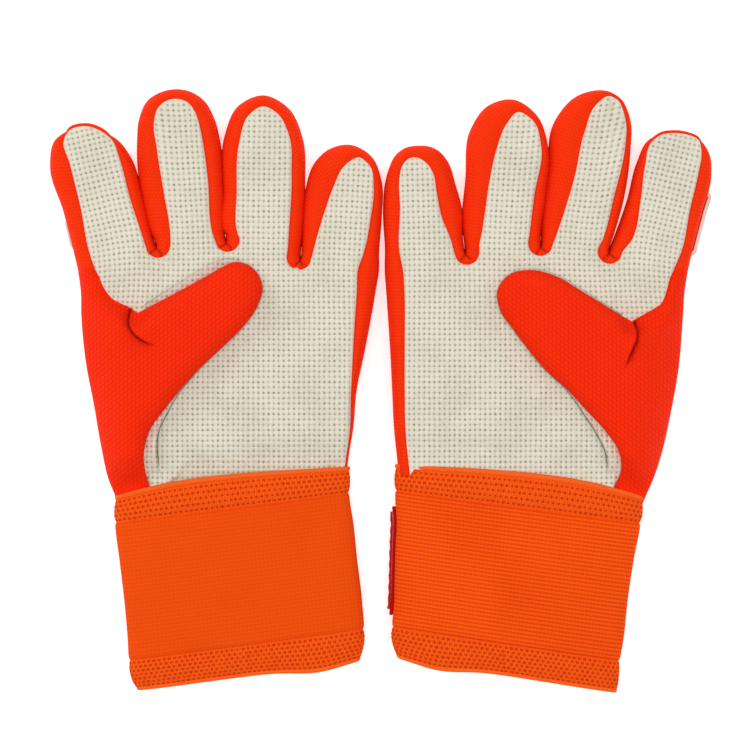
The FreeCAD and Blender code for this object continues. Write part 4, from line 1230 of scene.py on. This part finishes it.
def thumbFront(side):
    # white foam front of the folded thumb; its edge shows beside the orange cloth
    glove = plans[side]
    line = glove.thumbEdge
    away = -normalsOf(line)
    middle = len(line) // 2
    if insideOf(np.array([line[middle] + away[middle]]), line)[0]:
        away = -away
    steps = np.arange(len(line))
    toTip = smoothStep((line[:, 0] - 47.0) / 11.0)
    upper = plan[side]["frontUpper"] * np.clip(steps / 36.0, 0, 1) ** 0.4 * toTip * (steps < middle)
    lower = thumb["frontWide"] * smoothStep((4.0 - line[:, 1]) / 30.0) * (steps > middle)
    wide = upper + lower + 0.15
    edge = line + away * wide[:, None]
    # the other edge is hidden under the orange cloth
    hidden = [edge[-1], edge[-1] + [5.5, 1.5], *thumb["frontHidden"], edge[0] + [-2.5, -4.0], edge[0]]
    outline = np.vstack([edge, smoothLine(hidden, 1.2)])
    flat, faces = fillOutline(outline, 0.75, (0.12, 0.45, 0.9), edge, line)
    gap = distanceTo(flat, edge)
    sink = wristSink(side, flat)
    # fine pleats fan out where the strip is gathered into the cuff
    heart = thumb["pleatHeart"]
    turn = np.arctan2(flat[:, 1] - heart[1], flat[:, 0] - heart[0])
    pleat = np.cos(turn * thumb["pleatReach"] / thumb["pleatPitch"] * 2 * math.pi)
    pleats = thumb["pleatDepth"] * pleat * smoothStep((-17 - flat[:, 1]) / 7)
    rise = thumb["frontTop"] - thumb["frontLow"]
    fromCrease = smoothStep(np.linalg.norm(flat - line[0], axis=1) / 7.0)
    drop = hand["wristDrop"]["front"] * sink
    rolled = rise * roundUp(gap, thumb["frontRoll"]) * fromCrease
    top = thumb["frontLow"] - 2.0 * (1 - fromCrease) + rolled - drop
    free = smoothStep((flat[:, 1] + 33) / 4)
    onPalm = foamTop(side, flat) + 0.5 * roundUp(gap, 1.0) * smoothStep((-20 - flat[:, 1]) / 6) * free
    top = np.maximum(top, onPalm - 0.15) + pleats * roundUp(gap, 1.5) * free
    # it goes under the orange cloth
    beside = distanceTo(flat, line)
    spot = nearestOn(flat, line)[1]
    under = ((flat - line[spot]) * away[spot]).sum(1) < 0
    limit = coverTop(side, line)[spot] - 0.3 + 0.5 * beside
    limit[under] = np.minimum(coverTop(side, flat[under]) - thumb["underCloth"], limit[under])
    top = np.minimum(top, limit)
    low = np.minimum(thumb["frontLow"] - 0.35 * roundUp(gap, 1.0) - drop, top - 0.05)
    low[gap < 1e-4] = top[gap < 1e-4]
    places = np.vstack([np.column_stack([flat, top]), np.column_stack([flat, low])])
    cloth = np.tile(clothOf(side, flat), (2, 1))
    # near its edge the pits lose their painted shade and a painted pink glow shows
    near = np.tile(0.5 * np.exp(-gap / 0.6), 2)
    # painted shade along its edge, softer by the fingers and gone before the cuff
    fade = 0.25 + 0.5 * np.exp(-np.linalg.norm(flat - line[0], axis=1) / 16.0)
    fade = np.where(flat[:, 1] > 5, fade, 0.85) * smoothStep((flat[:, 1] + 31) / 8)
    crease = np.tile(np.exp(-(gap / 0.5) ** 2) * fade, 2)
    piece = makePiece(
        f"{side}_thumb_foam", side, places, twoSided(faces, len(flat)), "latex", cloth,
        lambda centre: (0, 0, centre[2] - thumb["frontLow"] - 0.3), weld=True,
        marks={"seamNear": near, "crease": crease})
    blendThumb(piece, side)
    declare(piece, "palm_latex", f"{side}_thumb_grip", fill=0.6)


backhand = {
    "edgeRound": 4.5, "low": 0.45, "wall": 1.3, "rimSink": 2.2, "sink": 3.4,
    "stitchStep": 2.6, "stitchLong": 0.9, "stitchThick": 0.24, "stitchInset": 1.7, "heart": (55.0, 10.0),
}


def backSurface(side, flat, seam, finger=None):
    # its height, and where each place lies among the flex lines, their zone and the red rim
    gap = distanceTo(flat, seam)
    sink = wristSink(side, flat)
    height = hand["seamBack"] - (hand["seamBack"] - backhand["low"]) * roundUp(gap, backhand["edgeRound"])
    if finger:
        local = toFinger(side, finger, flat)
        lines = local[:, 1] + 0.02 * local[:, 0] ** 2
        zone = smoothStep((9.0 - np.abs(local[:, 0])) / 2.0)
        zone = zone * smoothStep((local[:, 1] - 2) / 4) * smoothStep((34 - local[:, 1]) / 5)
    else:
        lines = (flat[:, 1] - 15.0) + 0.012 * (flat[:, 0] - backhand["heart"][0]) ** 2
        zone = smoothStep((gap - 7) / 3) * smoothStep((flat[:, 1] + 20) / 8)
    phase = np.mod(lines, flexLine["pitch"]) - flexLine["pitch"] / 2
    height += flexLine["deep"] * np.exp(-(phase / flexLine["sharp"]) ** 2) * zone
    height += (backhand["rimSink"] + backhand["sink"] * roundUp(gap, 5.0)) * sink
    rim = np.clip(np.exp(-((gap - 0.9) / 0.7) ** 2) * 1.2, 0, 1)
    return height, lines, zone, rim


def backPiece(name, side, outline, seam, finger=None):
    flat, faces = fillOutline(outline, 1.3, (0.15, 0.5, 1.0, 1.7, 2.6, 3.8), seam)
    height, lines, zone, rim = backSurface(side, flat, seam, finger)
    return makePiece(
        name, side, np.column_stack([flat, height]), faces, "backhand", np.column_stack([flat[:, 0], lines]),
        lambda c: (0, 0, -1), backhand["wall"], marks={"flexZone": zone, "rim": rim})


def backStitches(name, side, seam, finger=None):
    # a row of stitches just inside the backhand's edge
    inward = normalsOf(seam)
    middle = len(seam) // 2
    heart = creaseFrame(side, finger)[0] if finger else np.array(backhand["heart"])
    inward *= np.sign(((heart - seam[middle]) * inward[middle]).sum())
    spots, ways = stitchSpots(seam + inward * backhand["stitchInset"], backhand["stitchStep"])
    clear = distanceTo(spots, seam) > backhand["stitchInset"] - 0.2
    spots, ways = spots[clear], ways[clear]
    height = backSurface(side, spots, seam, finger)[0]
    places = np.column_stack([spots, height - 0.04])
    facing = np.tile([0.0, 0.0, -1.0], (len(spots), 1))
    along = np.column_stack([ways, np.zeros(len(ways))])
    long, thick = backhand["stitchLong"], backhand["stitchThick"]
    return scatter(name, side, places, facing, along, (long, thick, thick), "redThread", 8)


def backs(side):
    glove = plans[side]
    seams = {span: panelEdge(side, *glove.fingerSpan(span)) for span in (*fingerNames, "littleSide")}
    thumbSeam = panelEdge(side, glove.thumbSide, glove.thumbSide + glove.sideInward * 8)
    for finger in fingerNames:
        seam = seams[finger]
        outline = np.vstack([seam, straightLine(seam[-1], seam[0], 1.2)])
        piece = backPiece(f"{side}_{finger}_backhand", side, outline, seam, finger)
        joinFinger(piece, side, finger)
        declare(piece, "backhand", f"{side}_{finger}_back", fill=0.7)
        stitches = backStitches(f"{side}_{finger}_back_stitches", side, seam, finger)
        joinFinger(stitches, side, finger)
        declare(stitches, "backhand")
    cuts = [straightLine(seams[name][0], seams[name][-1], 1.2) for name in fingerNames]
    littleSeam = seams["littleSide"]
    wrist = straightLine(littleSeam[-1], thumbSeam[-1], 1.3)
    outline = np.vstack([thumbSeam[::-1], *cuts, littleSeam, wrist])
    rolled = np.vstack([thumbSeam[::-1], thumbSeam[:1] + [[60, 60]], littleSeam[:1] + [[-60, 60]], littleSeam])
    piece = backPiece(f"{side}_hand_backhand", side, outline, rolled)
    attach(piece, f"{side}_hand")
    declare(piece, "backhand", f"{side}_back_panel", fill=0.7)
    for name, seam in (("thumb_side", thumbSeam), ("little_side", littleSeam)):
        stitches = backStitches(f"{side}_{name}_back_stitches", side, seam)
        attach(stitches, f"{side}_hand")
        declare(stitches, "backhand")


inside = {
    "inset": 5.0, "liningUp": 12.4, "liningThick": 0.7, "liningDrop": 3.4, "padUp": 3.4, "padThick": 1.5,
    "padDrop": 0.6,
}


def insidePieces(side):
    # the lining under the palm foam and the foam pad behind the knuckles
    glove = plans[side]
    top = [(glove.fingerSpan(name)[1][0] + glove.fingerSpan(name)[1][-1]) / 2 - [0, 3] for name in fingerNames]
    thumbLine = glove.thumbSide[8:-6:6] - [inside["inset"], 0]
    littleLine = glove.fingerSpan("littleSide")[1][4:-4:5] + [inside["inset"] - 3, 0]
    outline = np.vstack([thumbLine[::-1], top, littleLine])
    outline = np.vstack([outline, outline[:1]])
    dense = np.vstack([straightLine(a, b, 2.0)[:-1] for a, b in zip(outline[:-1], outline[1:])])
    for name, node, material, slot, kind, way in (
            ("palm_lining_sheet", "palm_lining", "lining", "lining", "lining", -1),
            ("knuckle_foam", "back_padding", "foam", "foam_padding", "pad", 1)):
        up, thick, drop = (inside[kind + label] for label in ("Up", "Thick", "Drop"))
        flat, faces = fillOutline(dense, 2.2, (0.6, 1.5))
        height = up + 0.3 * softNoise(flat, 21.0, 17) * way - drop * wristSink(side, flat)
        piece = makePiece(
            f"{side}_{name}", side, np.column_stack([flat, height]), faces, material, flat,
            lambda c, way=way: (0, 0, way), thick)
        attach(piece, f"{side}_hand")
        declare(piece, slot, f"{side}_{node}", fill=0.3)


cuff = {
    "length": 68.0, "halfWide": 41.0, "halfTall": 6.0, "middle": 10.4, "power": 2.9, "around": 220,
    "sleeveWall": 1.4, "bandTop": 9.6, "bandEnd": 57.0, "bandStep": 0.35, "bandWall": 0.9,
    "bindingRound": 0.75, "hemRound": 0.8, "openAcross": 1.85, "openRow": 1.3, "openWide": 0.58,
    "openLong": 0.5, "openTall": 0.08, "sag": 2.0,
}


def edgeAt(line, share):
    # the place at a share of the way along a line
    steps = runAlong(line)
    wanted = np.asarray(share, float) * steps[-1]
    flat = np.stack([np.interp(wanted, steps, line[:, 0]), np.interp(wanted, steps, line[:, 1])], -1)
    ahead = line[-1] - line[-4]
    ahead = ahead / np.linalg.norm(ahead)
    # past the line's end it goes straight on
    return flat + ahead * np.maximum(wanted - steps[-1], 0)[..., None]


def cuffPoint(side, x, down, up):
    # x across the cuff, from -halfWide at the little finger to halfWide at the thumb
    glove = plans[side]
    x, down, up = np.broadcast_arrays(np.asarray(x, float), np.asarray(down, float), np.asarray(up, float))
    share = down / cuff["length"]
    near = edgeAt(glove.cuffLittle, share)
    far = edgeAt(glove.cuffThumb, share)
    place = x / cuff["halfWide"]
    flat = (near + far) / 2 + (far - near) / 2 * place[..., None]
    # the top edge is bowed towards the fingers, the hem sags by the little finger
    arch = glove.data["cuff"]["bow"] * np.clip(1 - down / cuff["bandTop"], 0, 1)
    arch = arch * (1 - place ** 2) * (1 + 0.5 * place)
    sag = cuff["sag"] * np.clip((down - cuff["bandEnd"]) / (cuff["length"] - cuff["bandEnd"]), 0, 1.2)
    sag = sag * np.exp(-((place + 0.62) / 0.3) ** 2)
    fall = np.array([0.12, 1.0])
    flat = flat + (arch - sag)[..., None] * fall
    return np.concatenate([flat, up[..., None]], -1)


def ringPoint(side, angle, down, grow):
    # a point on the flattened tube, grow millimetres outside the sleeve's own surface
    share = 2 / cuff["power"]
    wide, tall = cuff["halfWide"] + grow * 0.6, cuff["halfTall"] + grow
    x = wide * np.sign(np.cos(angle)) * np.abs(np.cos(angle)) ** share
    up = cuff["middle"] + tall * np.sign(np.sin(angle)) * np.abs(np.sin(angle)) ** share
    slack = 0.22 * np.sin(x / 9.0 + down / 23.0) + 0.16 * np.sin(x / 4.7 - down / 11.0 + 1.3)
    fold = plan[side]["cuff"]["foldDepth"] * np.exp(-((x + 24.0) / 4.5) ** 2)
    slack = slack - fold * np.sin(np.pi * np.clip(down / cuff["length"], 0, 1))
    up = up + slack * np.sin(angle) * np.clip(1 - np.abs(x) / wide, 0, 1) ** 0.5
    return cuffPoint(side, x, down, up)


def tubePiece(name, side, downs, grows, material, thickness):
    turn = np.linspace(0, 2 * math.pi, cuff["around"] + 1)
    angles = turn - 0.22 * np.sin(2 * turn)
    rows = np.array([ringPoint(side, angles, down, grow) for down, grow in zip(downs, grows)])
    rise = runAlong(np.column_stack([downs, grows]))
    cloth = np.stack(np.meshgrid(runAlong(rows[0]), rise), 2).reshape(-1, 2)
    heart = cuffPoint(side, 0.0, 35.0, cuff["middle"])

    def outward(centre):
        return ((centre[0] - heart[0]) * 0.1, 0, centre[2] - heart[2])

    faces = gridFaces(*rows.shape[:2])
    return makePiece(name, side, rows.reshape(-1, 3), faces, material, cloth, outward, thickness, weld=True)


def sleeveGrow(down):
    # the mesh swells above and below the elastic and is drawn in at its edges
    top = np.exp(-((down - 5.6) / 3.0) ** 4)
    low = np.exp(-((down - 62.6) / 4.3) ** 4)
    squeeze = np.exp(-((down - cuff["bandTop"]) / 0.9) ** 2) + np.exp(-((down - cuff["bandEnd"]) / 0.9) ** 2)
    end = np.exp(-((cuff["length"] - down) / 1.0) ** 2)
    return 0.75 * top + 0.8 * low - 0.5 * squeeze - 0.7 * end


def bandOpeningShade(side):
    # dark discs of painted shade where the air mesh's openings are, in staggered rows on both bands
    places, facings, alongs = [], [], []
    turn = np.linspace(0, 2 * math.pi, 2400, endpoint=False)
    for first, last in ((2.6, cuff["bandTop"] - 0.9), (cuff["bandEnd"] + 1.2, cuff["length"] - 1.5)):
        count = int((last - first) / cuff["openRow"]) + 1
        number = None
        for row in range(count):
            down = first + row * (last - first) / (count - 1)
            grow = sleeveGrow(down)
            ring = ringPoint(side, turn, down, grow)
            below = ringPoint(side, turn, down + 0.5, sleeveGrow(down + 0.5))
            steps = np.linalg.norm(np.roll(ring, -1, 0) - ring, axis=1)
            run = np.concatenate([[0], np.cumsum(steps)[:-1]])
            whole = steps.sum()
            number = number or int(round(whole / cuff["openAcross"]))
            wanted = (np.arange(number) + 0.5 * (row % 2)) * whole / number
            index = np.searchsorted(run, wanted % whole) % len(ring)
            tangent = np.roll(ring, -3, 0)[index] - np.roll(ring, 3, 0)[index]
            way = below[index] - ring[index]
            normal = np.cross(tangent, way)
            heart = ring.mean(0)
            flip = np.sign((normal[:, [0, 2]] * (ring[index] - heart)[:, [0, 2]]).sum(1))
            normal = normal * flip[:, None] / np.linalg.norm(normal, axis=1, keepdims=True)
            places.append(ring[index])
            facings.append(normal)
            alongs.append(tangent)
    return np.vstack(places), np.vstack(facings), np.vstack(alongs)


def cuffPieces(side):
    downs = np.linspace(0.2, cuff["length"] - 0.4, 110)
    sleeve = tubePiece(f"{side}_mesh_sleeve", side, downs, sleeveGrow(downs), "airMesh", cuff["sleeveWall"])
    # the elastic bandage round it, sewn down along both edges
    first, last = cuff["bandTop"], cuff["bandEnd"]
    rim = np.array([0.0, 0.08, 0.3, 0.65, 1.1, 1.7])
    downs = np.concatenate([first + rim, np.linspace(first + 2.4, last - 2.4, 44), last - rim[::-1]])
    edge = np.minimum(downs - first, last - downs)
    grows = -0.35 + (cuff["bandStep"] + 0.35) * roundUp(edge, 1.4)
    grows += 0.45 * np.sin(math.pi * (downs - first) / (last - first)) ** 0.8
    bandage = tubePiece(
        f"{side}_elastic_bandage_cloth", side, downs, grows, plan[side]["elastic"], cuff["bandWall"])
    size = (cuff["openWide"], cuff["openLong"], cuff["openTall"])
    # painted shade: dark discs where the mesh's openings are
    shadeDiscs = scatter(f"{side}_mesh_opening_shade", side, *bandOpeningShade(side), size, "meshOpening", 4)
    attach(shadeDiscs, f"{side}_hand")
    declare(shadeDiscs, "air_mesh")
    pieces = [(sleeve, "cuff_sleeve", "air_mesh"), (bandage, "elastic_bandage", "elastic")]
    for name, node, centre, radius, base in (
            ("top_binding_tape", "cuff_top_binding", 0.9, cuff["bindingRound"], -0.1),
            ("bottom_hem_tape", "cuff_bottom_binding", cuff["length"] - 0.6, cuff["hemRound"], -0.3)):
        turns = np.linspace(0, 2 * math.pi, 13)
        tape = tubePiece(
            f"{side}_{name}", side, centre + radius * np.cos(turns), base + radius * np.sin(turns),
            "binding", 0.0)
        weldMesh(tape.data, 0.01, outwards=True)
        pieces.append((tape, node, "binding"))
    for piece, node, slot in pieces:
        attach(piece, f"{side}_hand")
        declare(piece, slot, f"{side}_{node}", fill=0.3)


strap = {
    "top": 15.5, "length": 38.0, "thick": 1.2, "sewn": 42.0, "bend": 4.5, "low": 0.15, "loopWide": 56.0,
    "hookWide": 44.0, "loopReach": 28.0, "hookPitch": 1.6, "hookThick": 0.16, "hookTall": 0.3,
    "stitchStep": 2.4, "stitchLong": 0.85, "stitchThick": 0.24, "anchorLow": 2.0, "bendZone": 3.0,
    "cornerRound": 3.0, "tapeLong": 34.0, "loopLow": 2.6, "loopHigh": 3.3, "hookLow": 1.4, "hookHigh": 1.9,
    "anchorFrom": 30.9, "anchorTo": 38.9, "anchorHigh": 3.2, "stitchInset": 1.3, "tabRib": 4.0, "tabWall": 0.7,
}


def strapRun(side):
    # the strap's line, seen along the cuff: flat under the cuff and up round its little-finger side
    reach, rise = plan[side]["cuff"]["strapReach"], plan[side]["cuff"]["strapRise"]
    bend = strap["bend"]
    hinge = np.linspace(strap["sewn"], strap["sewn"] - 4, 13)
    xs = list(hinge) + list(np.linspace(strap["sewn"] - 5, -(reach - bend), 52))
    ups = [strap["low"]] * len(xs)
    for i in range(1, 13):
        angle = math.pi / 2 * i / 12
        xs.append(-(reach - bend) - bend * math.sin(angle))
        ups.append(strap["low"] + bend * (1 - math.cos(angle)))
    for i in range(1, 7):
        xs.append(-reach)
        ups.append(strap["low"] + bend + (rise - bend) * i / 6)
    return np.array(xs), np.array(ups)


def flatPatch(name, side, left, right, top, length, low, high, material):
    # a thin plate in the cuff's frame with rounded corners and a rolled rim
    radius = strap["cornerRound"]
    corners = []
    for turn, (x, down) in enumerate(((right, top), (left, top), (left, top + length), (right, top + length))):
        x += radius if x == left else -radius
        down += radius if down == top else -radius
        for i in range(7):
            angle = math.pi / 2 * (turn + i / 6)
            corners.append((x + radius * math.cos(angle), down - radius * math.sin(angle)))
    corners = np.array(corners + corners[:1])
    dense = np.vstack([straightLine(a, b, 1.5)[:-1] for a, b in zip(corners[:-1], corners[1:])])
    flat, faces = fillOutline(dense, 2.4, (0.12, 0.35, 0.8))
    gap = distanceTo(flat, np.vstack([dense, dense[:1]]))
    middle = (low + high) / 2
    bulge = (high - low) / 2 * roundUp(gap, 0.6)
    upper = cuffPoint(side, flat[:, 0], flat[:, 1], middle + bulge)
    lower = cuffPoint(side, flat[:, 0], flat[:, 1], middle - bulge)
    return makePiece(
        name, side, np.vstack([upper, lower]), twoSided(faces, len(flat)), material, np.vstack([flat, flat]),
        lambda centre: (0, 0, centre[2] - middle), weld=True)


def strapPieces(side):
    xs, ups = strapRun(side)
    edge, top = strap["length"], strap["top"]
    rim = np.array([0, 0.25, 0.8])
    downs = top + np.concatenate([rim, np.linspace(2, edge - 2, 24), edge - rim[::-1]])
    rows = np.array([cuffPoint(side, xs, down, ups) for down in downs])
    run = runAlong(np.column_stack([xs, ups]))
    cloth = np.stack(np.meshgrid(run, downs), 2).reshape(-1, 2)
    webbingPiece = makePiece(
        f"{side}_strap_webbing", side, rows.reshape(-1, 3), gridFaces(len(downs), len(xs)), "strap",
        cloth[:, ::-1], lambda centre: (0, 0, -1))
    wall = webbingPiece.modifiers.new("wall", "SOLIDIFY")
    wall.thickness = strap["thick"] * mm
    wall.offset = -1
    bevel = webbingPiece.modifiers.new("edge", "BEVEL")
    bevel.width = 0.35 * mm
    bevel.segments = 2
    bevel.limit_method = "ANGLE"
    plainMesh(webbingPiece)
    first = -strap["loopReach"]
    loopSide, hookSide = first + strap["loopWide"], first + strap["hookWide"]
    reach, rise = plan[side]["cuff"]["strapReach"], plan[side]["cuff"]["strapRise"]
    loop = flatPatch(
        f"{side}_loop_tape", side, first, loopSide, top + 2, strap["tapeLong"], strap["loopLow"],
        strap["loopHigh"], "loop")
    anchor = flatPatch(
        f"{side}_strap_anchor_fold", side, strap["anchorFrom"], strap["anchorTo"], top, edge,
        strap["anchorLow"], strap["anchorHigh"], "strap")
    hook = flatPatch(
        f"{side}_hook_tape", side, first, hookSide, top + 2, strap["tapeLong"], strap["hookLow"],
        strap["hookHigh"], "hook")
    # the pull tab is ribbed so that fingers hold it
    tabRows = []
    for down in np.linspace(top + 2, top + edge - 2, 60):
        soft = 0.12 * math.cos(2 * math.pi * down / strap["tabRib"])
        profile = ((-reach - 0.75, rise), (-reach - 0.95 - soft, rise / 2 + 0.5), (-reach - 0.75, 1.8))
        tabRows.append([cuffPoint(side, x, down, up) for x, up in profile])
    tab = makePiece(
        f"{side}_pull_tab_rubber", side, np.array(tabRows).reshape(-1, 3), gridFaces(len(tabRows), 3), "tab",
        None, lambda centre: (-1, 0, 0), strap["tabWall"])
    # hooks: short bristles on the hook tape
    across = np.arange(first + 2.5, hookSide - 2.0, strap["hookPitch"])
    down = np.arange(top + 4.5, top + strap["tapeLong"], strap["hookPitch"])
    across, down = (part.ravel() for part in np.meshgrid(across, down))
    hooks = cuffPoint(side, across, down, strap["hookHigh"] + strap["hookTall"] * 0.6)
    upright = np.tile([0.0, 0.0, 1.0], (len(hooks), 1))
    sideways = np.tile([1.0, 0.0, 0.0], (len(hooks), 1))
    bristles = scatter(
        f"{side}_hook_bristles", side, hooks, upright, sideways,
        (strap["hookThick"], strap["hookThick"], strap["hookTall"]), "hook", 6)
    # box stitch that holds the strap's fixed end
    left, right = strap["anchorFrom"] + strap["stitchInset"], strap["anchorTo"] - strap["stitchInset"]
    upper, lower = top + 2, top + edge - 2
    box = np.array([(left, upper), (right, upper), (right, lower), (left, lower), (left, upper)])
    spots, ways = stitchSpots(box, strap["stitchStep"])
    low = cuffPoint(side, spots[:, 0], spots[:, 1], strap["anchorLow"] - 0.05)
    ahead = cuffPoint(side, spots[:, 0] + ways[:, 0], spots[:, 1] + ways[:, 1], strap["anchorLow"] - 0.05)
    stitches = scatter(
        f"{side}_anchor_stitches", side, low, -np.tile([0.0, 0.0, 1.0], (len(low), 1)), ahead - low,
        (strap["stitchLong"], strap["stitchThick"], strap["stitchThick"]), "redThread", 5)
    for piece, body, nodes, slot in (
            (webbingPiece, "strap", ["wrist_strap"], "strap_webbing"),
            (loop, "hand", ["loop_patch"], "loop_tape"),
            (anchor, "hand", ["strap_anchor"], "strap_webbing"),
            (hook, "strap", ["hook_patch"], "hook_tape"),
            (tab, "strap", ["pull_tab"], "pull_tab"),
            (bristles, "strap", [], "hook_tape"),
            (stitches, "hand", [], "strap_webbing")):
        if piece is webbingPiece:
            # the place where its end is sewn to the cuff is found, and its placement is baked into its mesh
            bend = [strap["sewn"], strap["sewn"] - strap["bendZone"]]
            ends = cuffPoint(side, bend, top + edge / 2, strap["low"])
            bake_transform(piece)
        else:
            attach(piece, f"{side}_{body}")
        declare(piece, slot, *[f"{side}_{node}" for node in nodes])


for side in sides:
    palmFoam(side)
    gussets(side)
    print(side, "palm foam and gussets")
    thumbCover(side)
    thumbFront(side)
    backs(side)
    insidePieces(side)
    print(side, "thumb, backhand and lining")
    cuffPieces(side)
    strapPieces(side)
    print(side, "cuff and strap")


studio = {
    "viewWide": 264.6, "distance": 1200.0, "focusUp": 14.0, "centre": (-1.4, 4.5), "floor": 8000.0, "glow": 0.5,
    "world": 0.55,
}


def makeStudio():
    floorMesh = bpy.data.meshes.new("floor")
    half = studio["floor"] * mm / 2
    corners = [(-half, -half, 0), (half, -half, 0), (half, half, 0), (-half, half, 0)]
    floorMesh.from_pydata(corners, [], [[0, 1, 2, 3]])
    floor = bpy.data.objects.new("floor", floorMesh)
    bpy.context.collection.objects.link(floor)
    # matt white card lit from below: bright and even
    card = newMaterial("white card", 0.9)[0]
    shader = card.node_tree.nodes["Principled BSDF"]
    shader.inputs["Base Color"].default_value = linearColour("#FBFBFA")
    shader.inputs["Emission Color"].default_value = (1.0, 1.0, 1.0, 1.0)
    shader.inputs["Emission Strength"].default_value = studio["glow"]
    floorMesh.materials.append(card)
    world = bpy.data.worlds.new("studio")
    world.use_nodes = True
    world.node_tree.nodes["Background"].inputs[0].default_value = (1.0, 1.0, 1.0, 1.0)
    world.node_tree.nodes["Background"].inputs[1].default_value = studio["world"]
    bpy.context.scene.world = world
    for name, place, size, power in (
            ("overhead softbox", (0.0, 0.1, 1.6), 1.3, 10.5),
            ("side softbox", (-1.3, 0.9, 1.0), 0.8, 6.5),
            ("fill softbox", (1.2, -0.7, 1.2), 1.0, 2.0)):
        light = bpy.data.lights.new(name, "AREA")
        light.size = size
        light.energy = power
        lamp = bpy.data.objects.new(name, light)
        lamp.location = place
        lamp.rotation_euler = (Vector((0, 0, 0)) - Vector(place)).to_track_quat("-Z", "Y").to_euler()
        bpy.context.collection.objects.link(lamp)
    camera = bpy.data.cameras.new("camera")
    camera.sensor_width = 36.0
    camera.lens = 36.0 * studio["distance"] / studio["viewWide"]
    view = bpy.data.objects.new("camera", camera)
    x, y = studio["centre"]
    view.location = (x * mm, y * mm, (studio["distance"] + studio["focusUp"]) * mm)
    bpy.context.collection.objects.link(view)
    bpy.context.scene.camera = view
    bpy.context.scene.view_settings.view_transform = "Standard"


makeStudio()
print("studio set")
